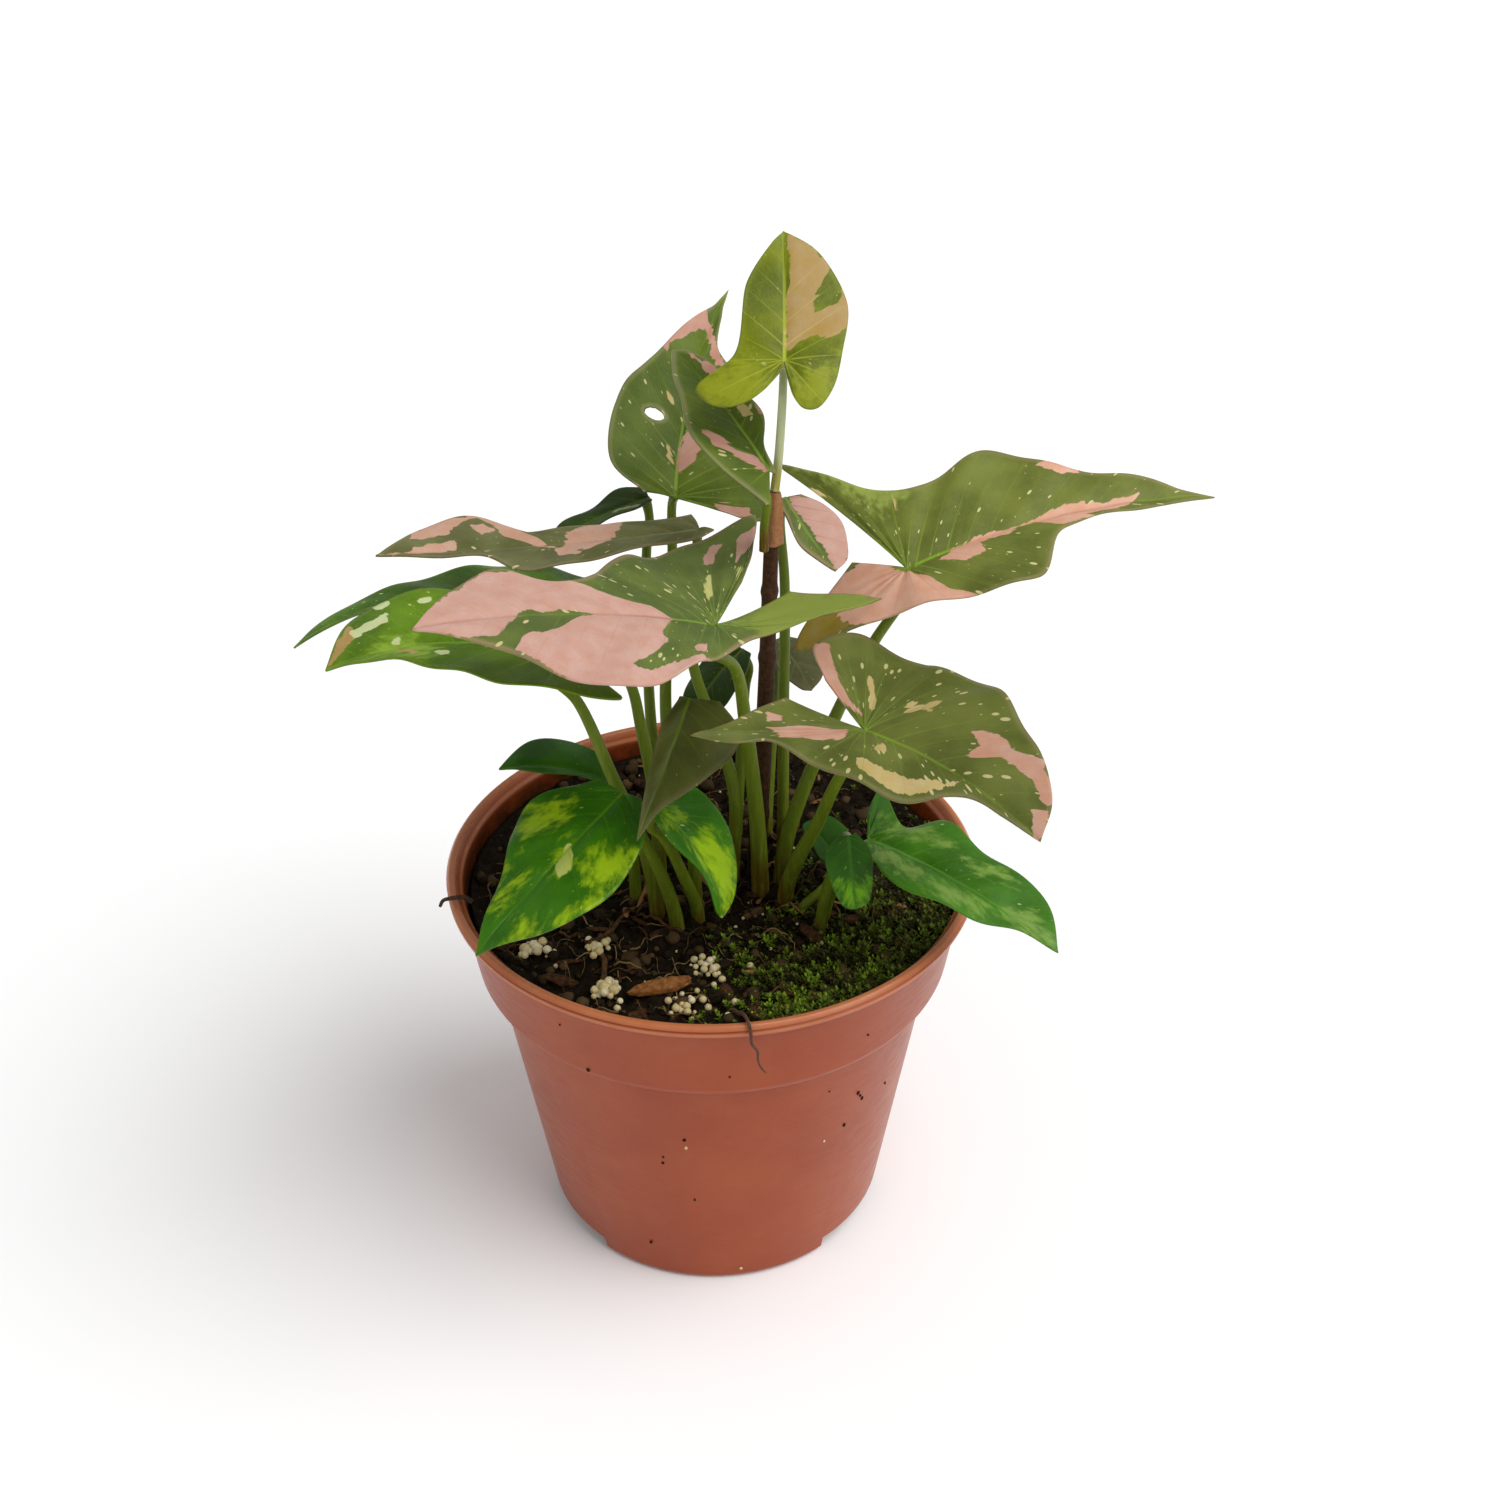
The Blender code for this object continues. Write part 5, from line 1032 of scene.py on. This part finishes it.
def make_trim(root_finish, twig_finish):
    """A fine root that hangs over the front of the rim, and a scrap at the rim's left."""
    clear = GAP + ROOT_HAIR_RADIUS + 0.1
    rim, over = POT_RIM_RADIUS + clear, POT_HEIGHT + clear
    places = [(50.5, -84, over - 3.4), (54, -83, over - 1.6), (rim - 3.6, -82.3, over),
              (rim - 1.0, -81.8, over), (rim, -81.5, POT_HEIGHT - EDGE_ROUND),
              (rim + 0.2, -81.4, POT_HEIGHT - 3.6),
              (rim - 0.1, -80.2, POT_HEIGHT - 6.2), (rim - 0.6, -80.0, POT_HEIGHT - 9),
              (rim - 0.9, -79.4, POT_HEIGHT - 11.2), (rim - 1.1, -78.4, POT_HEIGHT - 13)]
    route = [(*turned(radius, 0, math.radians(angle)), height) for radius, angle, height in places]
    root = tube("root_hair_fine", route, lambda share: ROOT_HAIR_RADIUS * (1.35 - 0.85 * share), 10, 0.6,
                root_finish)
    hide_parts("root_hair")
    clear = POT_HEIGHT + TWIG_RADIUS + GAP
    places = [(COLLAR_TOP_RADIUS - 2.2, clear - 1.6), (COLLAR_TOP_RADIUS - 0.6, clear - 0.1),
              (POT_RIM_RADIUS - 0.5, clear + 0.2), (POT_RIM_RADIUS + 1.4, clear),
              (POT_RIM_RADIUS + 2.2, clear - 1.4)]
    route = [(*turned(radius, 0, math.radians(TWIG_ANGLE)), height) for radius, height in places]
    twig = tube("rim_twig_fine", route, lambda share: TWIG_RADIUS * (1 - 0.4 * share), 12, 0.5, twig_finish,
                flute=0.15)
    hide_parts("rim_twig")


def linear(colour):
    """Linear light values of an sRGB colour written as #RRGGBB."""
    parts = [int(colour[place:place + 2], 16) / 255 for place in (1, 3, 5)]
    parts = [part / 12.92 if part <= 0.04045 else ((part + 0.055) / 1.055) ** 2.4 for part in parts]
    return (*parts, 1.0)


def add_node(tree, kind, inputs=(), **settings):
    """Adds a node: its settings, then its inputs, in the node's own order or by their names.

    An input is a number, a colour as #RRGGBB, another node's output, or the node itself for its
    first output. All mixes here are mixes of colours.
    """
    node = tree.nodes.new("ShaderNode" + kind)
    if kind == "Mix":
        node.data_type = "RGBA"
    for key, value in settings.items():
        setattr(node, key, value)
    sockets = [socket for socket in node.inputs if socket.enabled]
    by_name = {socket.name: socket for socket in reversed(sockets)}
    for key, value in inputs.items() if isinstance(inputs, dict) else enumerate(inputs):
        socket = by_name[key] if isinstance(key, str) else sockets[key]
        if isinstance(value, bpy.types.Node):
            value = next(output for output in value.outputs if output.enabled)
        if isinstance(value, bpy.types.NodeSocket):
            tree.links.new(value, socket)
        else:
            socket.default_value = linear(value) if isinstance(value, str) else value
    return node


def new_skin(name):
    """An empty material, and the node function bound to its tree."""
    skin = bpy.data.materials.new(name)
    skin.use_nodes = True
    skin.node_tree.nodes.clear()
    return skin, partial(add_node, skin.node_tree)


SOFT = {"interpolation_type": "SMOOTHSTEP"}    # a range with soft ends

# What each kind of leaf looks like: its greens, its veins plain and in the pink, the pink and pale sectors,
# the yellow-green blotches, also used as painted sheen, and the underside. Each fleck and margin colour has
# its share, and the gloss is the upper side's roughness.
LOOK_PARTS = ("dark", "mid", "light", "vein", "blush", "pink", "pale", "blotch", "under",
              "fleck", "flecks", "tint", "tinted", "gloss")
LOOKS = {
    "young": ("#525E02", "#727C08", "#888F14", "#A6AC34", "#C2AE66", "#A88A56", "#A9A95A", "#868E18",
              "#8F9A3C", "#B9B552", 0.04, "#7E8430", 0.4, 0.42),
    "olive": ("#4E551E", "#62692A", "#737839", "#6F8C22", "#A8705C", "#BC8E7A", "#B59F6A", "#7E8A40",
              "#7C8450", "#BDB480", 0.5, "#8C7A58", 0.35, 0.46),
    "dusky": ("#435311", "#5A6A1A", "#6C7A26", "#7A9632", "#A8705C", "#B8897A", "#B59F6A", "#7E8A40",
              "#707A44", "#BDB480", 0.42, "#98906A", 0.4, 0.46),
    "grey": ("#4A4C26", "#5E6038", "#72734E", "#6E704A", "#96664E", "#AC8672", "#A59878", "#74765A",
             "#747552", "#B5AA80", 0.3, "#7E6A50", 0.35, 0.46),
    "pink": ("#4C5A28", "#5F6C30", "#707B3C", "#6E8A30", "#9C5E50", "#BE9386", "#B5B070", "#7C8838",
             "#A5806A", "#C2BA84", 0.5, "#B08A72", 0.4, 0.48),
    "shade": ("#22380A", "#33490C", "#465A14", "#5C6E28", "#8A5A48", "#A07A60", "#9AA070", "#465A1A",
              "#4C5E2C", "#8F9A5E", 0.12, "#3F4A1E", 0.2, 0.42),
    "fresh": ("#42600A", "#5A7A10", "#70901A", "#86A43C", "#8A6A3A", "#A0804E", "#B7BE8E", "#7E9C30",
              "#7C9448", "#A9B25E", 0.15, "#6E8426", 0.25, 0.34),
    "mottled": ("#245404", "#336A04", "#467E08", "#4E7C12", "#8A6A3A", "#A07A60", "#A9B25E", "#8CAA10",
                "#5E8034", "#8CA83C", 0.2, "#4A7414", 0.2, 0.36),
    "deep": ("#1E4202", "#2C5A04", "#3A6C08", "#2E5A08", "#8A6A3A", "#A07A60", "#9AA070", "#5E900A",
             "#4C6A2C", "#6E8A40", 0.06, "#30501A", 0.2, 0.4),
    "frosted": ("#2C560A", "#3A6C10", "#4A7C1C", "#588630", "#8A6A3A", "#A07A60", "#8EA066", "#6E8A3C",
                "#6A8848", "#86A054", 0.15, "#446E20", 0.2, 0.4),
}
LOOKS = {name: dict(zip(LOOK_PARTS, values)) for name, values in LOOKS.items()}
BROWN = "#7E6A2C"              # dry edge of a lobe


def leaf_skin(look, colours, under):
    """Syngonium leaf: waxy skin over soft tissue, with sunken veins and cream and pink sectors.

    The eye gets a smooth, even green, a soft sheen broken by the swells between the veins,
    light that shines through the thin tissue, and the crisp, toothed edges of the pink sectors.
    """
    side = "underside" if under else "upper side"
    skin, add = new_skin(f"Syngonium leaf, {look}, {side}, living tissue")
    grain = add("Attribute", attribute_name="grain").outputs["Vector"]
    place = add("TexCoord").outputs["Object"]
    field = {key: add("Attribute", attribute_name=key).outputs["Fac"] for key in (
        "to_margin", "to_joint", "to_vein", "to_midrib", "vein_size", "speckled", "tone",
        "light", "brown", "pink", "pale")}
    # cloudy shades about 12 mm wide
    cloud = add("TexNoise", [place, 1 / (12 * MM), 4.0])
    layers = [(add("MapRange", [cloud, 0.35, 0.68], **SOFT), colours["mid"])]
    # faint streaks along the side veins, about 3 mm wide and four times as long
    drawn = add("Mapping", {"Vector": grain, "Scale": (1.0, 0.25, 1.0)})
    streak = add("TexNoise", [drawn, 1 / 3.0, 3.0])
    layers.append((add("MapRange", [streak, 0.5, 0.8, 0.0, 0.25], **SOFT), colours["light"]))
    # tinted margin, 1.2 mm wide
    rim = add("MapRange", [field["to_margin"], 1.3, 0.2, 0.0, colours["tinted"]], **SOFT)
    layers.append((rim, colours["tint"]))
    # cream flecks up to 1.2 mm wide, drawn out along the veins, in up to half of the 1.7 mm cells
    dots = add("Mapping", {"Vector": grain, "Scale": (1.0, 0.55, 1.0)})
    cells = add("TexVoronoi", {"Vector": dots, "Scale": 1 / 1.7})
    chance = add("SeparateColor", [cells.outputs["Color"]])
    crowd = add("TexNoise", [place, 1 / (16 * MM), 1.0])
    least = add("MapRange", [crowd, 0.35, 0.6, 0.86, 1.0 - colours["flecks"]])
    share = add("Math", [chance, field["speckled"]], operation="MULTIPLY")
    size = add("Math", [share, least], operation="SUBTRACT")
    size = add("MapRange", [size, 0.0, 0.34, 0.09, 0.33])
    spot = add("Math", [size, cells.outputs["Distance"]], operation="SUBTRACT")
    layers.append((add("MapRange", [spot, 0.0, 0.05, 0.0, 0.85], **SOFT), colours["fleck"]))
    # yellow-green blotches with soft, mottled edges, 2.8 mm grain; on front_pink and left_lower the same
    # paint is painted light and painted sheen
    mottle = add("TexNoise", [grain, 1 / 2.8, 5.0, 0.65])
    shift = add("MapRange", [mottle, 0.3, 0.7, -3.2, 2.6])
    moved = add("Math", [field["light"], shift], operation="ADD")
    layers.append((add("MapRange", [moved, -1.8, 3.2, 0.0, 0.9], **SOFT), colours["blotch"]))
    # the coloured sectors: crisp edges with teeth up to 0.6 mm that follow the veins
    teeth = add("TexNoise", [drawn, 1 / 2.2, 3.0, 0.5])
    wander = add("MapRange", [teeth, 0.3, 0.7, -0.6, 0.6])
    cast = add("TexNoise", [place, 1 / (3.5 * MM), 4.0])
    richness = add("MapRange", [cast, 0.3, 0.7, 0.9, 1.1])
    value = add("MapRange", [cast, 0.3, 0.7, 1.03, 0.96])
    masks = {}
    for kind, paint in (("brown", BROWN), ("pink", colours["pink"]), ("pale", colours["pale"])):
        moved = add("Math", [field[kind], wander], operation="ADD")
        masks[kind] = add("MapRange", [moved, -0.12, 0.12, 0.0, 0.96], **SOFT)
        varied = add("HueSaturation", {"Color": paint, "Saturation": richness, "Value": value})
        layers.append((masks[kind], varied))
    # side veins 0.4 mm wide and a midrib 0.8 mm wide, brightest near the joint
    near = add("MapRange", [field["to_joint"], 22.0, 3.0, 0.3, 1.0])
    vein = add("Math", [field["to_vein"], field["vein_size"]], operation="DIVIDE")
    line = add("MapRange", [vein, 0.42, 0.1, 0.0, 0.45], **SOFT)
    middle = add("MapRange", [field["to_midrib"], 0.6, 0.2, 0.0, 0.95], **SOFT)
    line = add("Math", [line, middle], operation="MAXIMUM")
    line = add("Math", [line, near], operation="MULTIPLY")
    layers.append((line, add("Mix", [masks["pink"], colours["vein"], colours["blush"]])))
    # the net of fine veins: cells 1.3 mm wide
    net = add("TexVoronoi", {"Vector": grain, "Scale": 1 / 1.3}, feature="DISTANCE_TO_EDGE")
    layers.append((add("MapRange", [net, 0.08, 0.0, 0.0, 0.1]), colours["vein"]))
    colour = colours["dark"]
    for share, paint in layers:
        colour = add("Mix", [share, colour, paint])
    # painted light and shade: each leaf, and a half with a tone of its own, is made lighter or darker for how
    # brightly it is lit, as well as for its own colour
    colour = add("HueSaturation", {"Color": colour, "Value": field["tone"]})
    if under:
        colour = add("Mix", [0.55, colour, colours["under"]])
    # fine relief: grain 0.5 mm wide breaks the gloss, and the net's threads lie a little lower
    fine = add("TexNoise", [place, 1 / (0.5 * MM), 2.0])
    relief = add("Math", [fine, 0.3, net], operation="MULTIPLY_ADD")
    bump = add("Bump", {"Strength": 0.25, "Distance": 0.1 * MM, "Height": relief})
    smooth, dull = (0.56, 0.66) if under else (colours["gloss"] - 0.04, colours["gloss"] + 0.08)
    # the velvety bloom of these leaves takes over half of the mirror gloss away
    body = add("BsdfPrincipled", {
        "Base Color": colour, "Roughness": add("MapRange", [streak, 0.0, 1.0, smooth, dull]), "IOR": 1.42,
        "Specular IOR Level": 0.22, "Normal": bump, "Subsurface Weight": 0.12,
        "Subsurface Radius": (1.2, 1.5, 0.3), "Subsurface Scale": MM})
    add("OutputMaterial", [body])
    return skin


def stalk_skin(name, base, top, streaked):
    """Petiole: smooth, slightly glossy skin, redder and browner at its sheathed foot."""
    skin, add = new_skin(name)
    place = add("TexCoord").outputs["Object"]
    climb = add("Attribute", attribute_name="climb").outputs["Fac"]
    # streaks along the stalk, 0.9 mm wide
    drawn = add("Mapping", {"Vector": place, "Scale": (1.0, 1.0, 0.12)})
    streak = add("TexNoise", [drawn, 1 / (0.9 * MM), 3.0])
    wander = add("MapRange", [streak, 0.0, 1.0, -0.16, 0.16])
    moved = add("Math", [climb, wander], operation="ADD")
    colour = add("Mix", [add("MapRange", [moved, 0.06, 0.34], **SOFT), base, top])
    colour = add("Mix", [add("MapRange", [streak, 0.52, 0.7, 0.0, 0.5]), colour, streaked])
    bump = add("Bump", {"Strength": 0.3, "Distance": 0.1 * MM, "Height": streak})
    body = add("BsdfPrincipled", {
        "Base Color": colour, "Roughness": 0.42, "IOR": 1.42, "Specular IOR Level": 0.22, "Normal": bump,
        "Subsurface Weight": 0.15, "Subsurface Radius": (1.0, 1.0, 0.4), "Subsurface Scale": MM})
    add("OutputMaterial", [body])
    return skin


def pot_skin():
    """Terracotta-coloured polypropylene, thermoformed: satin skin, cloudy pigment, dust and soil stains, and
    a painted highlight on the lip.
    """
    skin, add = new_skin("Terracotta-coloured polypropylene, thermoformed")
    place = add("TexCoord").outputs["Object"]
    split = add("SeparateXYZ", [place])
    height = split.outputs["Z"]
    # the pigment lies in clouds 24 mm wide
    cloud = add("TexNoise", [place, 1 / (24 * MM), 4.0])
    layers = [(add("MapRange", [cloud, 0.35, 0.65]), "#9A4214")]
    # speckle of the pigment, drawn 0.7 mm wide: coarser than the real 0.1 mm, so that it shows
    speckle = add("TexNoise", [place, 1 / (0.7 * MM), 2.0])
    layers.append((add("MapRange", [speckle, 0.5, 0.8, 0.0, 0.07]), "#B87048"))
    # a film of dust in patches 9 mm wide
    dust = add("TexNoise", [place, 1 / (9 * MM), 6.0, 0.7])
    layers.append((add("MapRange", [dust, 0.5, 0.85, 0.0, 0.12]), "#AC7452"))
    # soil stains on the inside of the collar only: a cone in the middle of the wall parts it off
    flat = add("CombineXYZ", [split.outputs["X"], split.outputs["Y"]])
    reach = add("VectorMath", [flat], operation="LENGTH").outputs["Value"]
    slope = (COLLAR_TOP_RADIUS - COLLAR_FOOT_RADIUS) / (COLLAR_INSIDE_TOP - COLLAR_FOOT_HEIGHT)
    wall = add("Math", [height, -slope, reach], operation="MULTIPLY_ADD")
    middle = (COLLAR_FOOT_RADIUS - slope * COLLAR_FOOT_HEIGHT - 0.5 * POT_WALL) * MM
    stain = add("MapRange", [wall, middle + 0.1 * MM, middle - 0.1 * MM])
    for share in (add("MapRange", [height, 92.2 * MM, 88 * MM, 0.0, 0.9]),
                  add("MapRange", [height, 70 * MM, 71 * MM]),
                  add("MapRange", [dust, 0.3, 0.5, 0.35, 1.0])):
        stain = add("Math", [stain, share], operation="MULTIPLY")
    layers.append((stain, "#35200F"))
    # painted highlight: the lip is painted paler, most at its very edge, and along the bead below it, 1 mm
    # wide, in place of the bright lines that light draws there
    painted_lip_highlight = add("MapRange", [height, (POT_HEIGHT - 1.8) * MM, (POT_HEIGHT - 0.4) * MM, 0.0, 0.75])
    painted_bead_highlight = add("Math", [height, -(POT_HEIGHT - LIP_DEPTH + 1.9) * MM], operation="ADD")
    painted_bead_highlight = add("Math", [painted_bead_highlight], operation="ABSOLUTE")
    painted_bead_highlight = add("MapRange", [painted_bead_highlight, 0.6 * MM, 0.2 * MM, 0.0, 0.8])
    painted_lip_highlight = add("Math", [painted_lip_highlight, painted_bead_highlight], operation="MAXIMUM")
    painted_lip_highlight = add("Math", [painted_lip_highlight, add("MapRange", [dust, 0.2, 0.6, 0.55, 1.0])], operation="MULTIPLY")
    # the painted highlight's colour on the lip and bead
    layers.append((painted_lip_highlight, "#BC7850"))
    colour = "#92390C"
    for share, paint in layers:
        colour = add("Mix", [share, colour, paint])
    # scuffs 6 mm long and 1 mm high, and smoother on the lip and bead bands that carry the painted highlight
    drawn = add("Mapping", {"Vector": place, "Scale": (1.0, 1.0, 6.0)})
    scuff = add("TexNoise", [drawn, 1 / (6 * MM), 5.0])
    rough = add("MapRange", [scuff, 0.35, 0.7, 0.3, 0.4])
    rough = add("Math", [painted_lip_highlight, -0.14, rough], operation="MULTIPLY_ADD")
    bump = add("Bump", {"Strength": 0.15, "Distance": 0.05 * MM, "Height": speckle})
    body = add("BsdfPrincipled", {"Base Color": colour, "Roughness": rough, "IOR": 1.49,
                                  "Specular IOR Level": 0.3, "Normal": bump})
    add("OutputMaterial", [body])
    return skin


def loose_skin(name, first, second, size, rough, relief, third=None, shine=0.5):
    """A loose natural material: two tones in grains of a given size, and a tone for each piece."""
    skin, add = new_skin(name)
    place = add("TexCoord").outputs["Object"]
    grain = add("TexNoise", [place, 1 / (size * MM), 4.0, 0.65])
    colour = add("Mix", [add("MapRange", [grain, 0.35, 0.7]), first, second])
    if third:
        tint = add("Attribute", attribute_name="tint").outputs["Fac"]
        colour = add("Mix", [add("MapRange", [tint, 0.4, 1.0, 0.0, 0.8]), colour, third])
    bump = add("Bump", {"Strength": 0.6, "Distance": relief * MM, "Height": grain})
    body = add("BsdfPrincipled", {"Base Color": colour, "Roughness": rough, "IOR": 1.45,
                                  "Specular IOR Level": shine, "Normal": bump})
    add("OutputMaterial", [body])
    return skin


def moss_skin():
    """Moss: thin, dull little leaves, olive and brown low down and brighter at the tips."""
    skin, add = new_skin("Moss, living shoots")
    tint, height = (add("Attribute", attribute_name=key).outputs["Fac"] for key in ("tint", "height"))
    low = add("Mix", [tint, "#160F06", "#222C08"])
    high = add("Mix", [tint, "#38330F", "#76921C"])
    body = add("BsdfPrincipled", {"Base Color": add("Mix", [height, low, high]), "Roughness": 0.7,
                                  "IOR": 1.4, "Specular IOR Level": 0.25})
    add("OutputMaterial", [body])
    return skin


def place_camera():
    """The view of the photo: from above and in front, looking down at the pot."""
    lens = bpy.data.cameras.new("view")
    lens.lens = LENS
    lens.sensor_width = LENS_FRAME
    eye = bpy.data.objects.new("view", lens)
    eye.location = Vector(VIEW_FROM) * MM
    eye.rotation_euler = (math.radians(VIEW_TILT), 0, 0)
    bpy.context.scene.collection.objects.link(eye)
    bpy.context.scene.camera = eye


def add_sun(name, direction, angle, strength):
    """A wide, soft lamp far away in a direction: its light falls evenly on the whole floor."""
    light = bpy.data.lights.new(name, "SUN")
    light.angle = math.radians(angle)
    light.energy = strength
    lamp = bpy.data.objects.new(name, light)
    lamp.location = Vector(direction)
    lamp.rotation_euler = (-Vector(direction)).to_track_quat("-Z", "Y").to_euler()
    bpy.context.scene.collection.objects.link(lamp)


def add_studio():
    """White floor, even surroundings, a soft key light from the right and a weak fill from the left."""
    skin, add = new_skin("Studio paper, matt white")
    add("OutputMaterial", [add("BsdfPrincipled", {"Base Color": "#F6F6F6", "Roughness": 0.95})])
    mesh = bpy.data.meshes.new("studio_floor")
    reach = 40.0               # metres, so that no corner of it shows
    mesh.from_pydata([(-reach, -reach, 0), (reach, -reach, 0), (reach, reach, 0), (-reach, reach, 0)], [],
                     [(0, 1, 2, 3)])
    mesh.materials.append(skin)
    floor = bpy.data.objects.new("studio_floor", mesh)
    bpy.context.scene.collection.objects.link(floor)
    world = bpy.data.worlds.new("surroundings")
    world.use_nodes = True
    world.node_tree.nodes.clear()
    glow = add_node(world.node_tree, "Background", {"Color": "#FFFFFF", "Strength": 0.5})
    add_node(world.node_tree, "OutputWorld", [glow])
    bpy.context.scene.world = world
    add_sun("key", (0.53, -0.22, 0.82), 54, 2.5)
    add_sun("fill", (-0.55, -0.65, 0.5), 60, 0.18)
    bpy.context.scene.view_settings.view_transform = "Standard"


finishes = {}
for look, colours in LOOKS.items():
    rib = stalk_skin(f"Syngonium midrib, {look}, living tissue", colours["under"], colours["under"],
                     colours["vein"])
    finishes[look] = (leaf_skin(look, colours, False), leaf_skin(look, colours, True), rib)
stalk = stalk_skin("Syngonium petiole, living skin", "#5E4014", "#64761A", "#808A34")
young_stalk = stalk_skin("Young syngonium petiole, living skin", "#A09A4E", "#BEC69A", "#CCD0A4")
for seed, (name, leaf) in enumerate(LEAVES.items()):
    upper, under, rib = finishes[leaf["look"]]
    make_blade(name, leaf, seed, upper, under)
    make_petiole(name, leaf, young_stalk if name == "crown" else stalk, rib)

make_pot(pot_skin())
# peat: nearly black, damp and dull, in fibrous grains
make_soil(loose_skin("Peat potting mix, damp", "#080502", "#261B0D", 1.6, 0.85, 0.3, shine=0.12))
crumb_finish = loose_skin("Peat crumbs, damp", "#080502", "#2E2110", 0.8, 0.8, 0.2, "#5E482C", shine=0.15)
# dry roots and torn wood: dull browns, some strands bleached to straw
make_litter(crumb_finish, loose_skin("Dry roots", "#38240F", "#644828", 0.9, 0.8, 0.1, "#A08254", shine=0.2),
            loose_skin("Pine bark slivers, weathered", "#241308", "#563416", 0.8, 0.8, 0.2, "#9A7044",
                       shine=0.2))
# fertiliser: cream coated grains, each a little lighter or darker, with a faint gloss
grain_finish = loose_skin("Coated fertiliser grains, prilled", "#B8A26C", "#DACA9A", 0.6, 0.6, 0.05,
                          "#E8DDBE")
make_specks(crumb_finish, grain_finish)
make_moss(moss_skin())
make_granules(grain_finish)
# fresh bark chip: orange-brown, matt, with a rough grain
make_chip(loose_skin("Pine bark, torn", "#683C18", "#9E6832", 1.1, 0.75, 0.12, shine=0.3))
# corky stem and papery sheath: brown and pinkish tan, a little smoother than the soil
make_stem(loose_skin("Syngonium stem, corky bark", "#2A1808", "#4E3014", 0.9, 0.6, 0.12, shine=0.2),
          loose_skin("Dry leaf sheath, papery", "#885A38", "#A4744A", 0.8, 0.55, 0.1, shine=0.3))
# scraps on the rim: dark, dry and dull
make_trim(loose_skin("Root hair, dry", "#3E2414", "#5C3C28", 0.8, 0.8, 0.1),
          loose_skin("Bark scrap, dry", "#2A1C10", "#4E3826", 0.8, 0.9, 0.2))

place_camera()
add_studio()
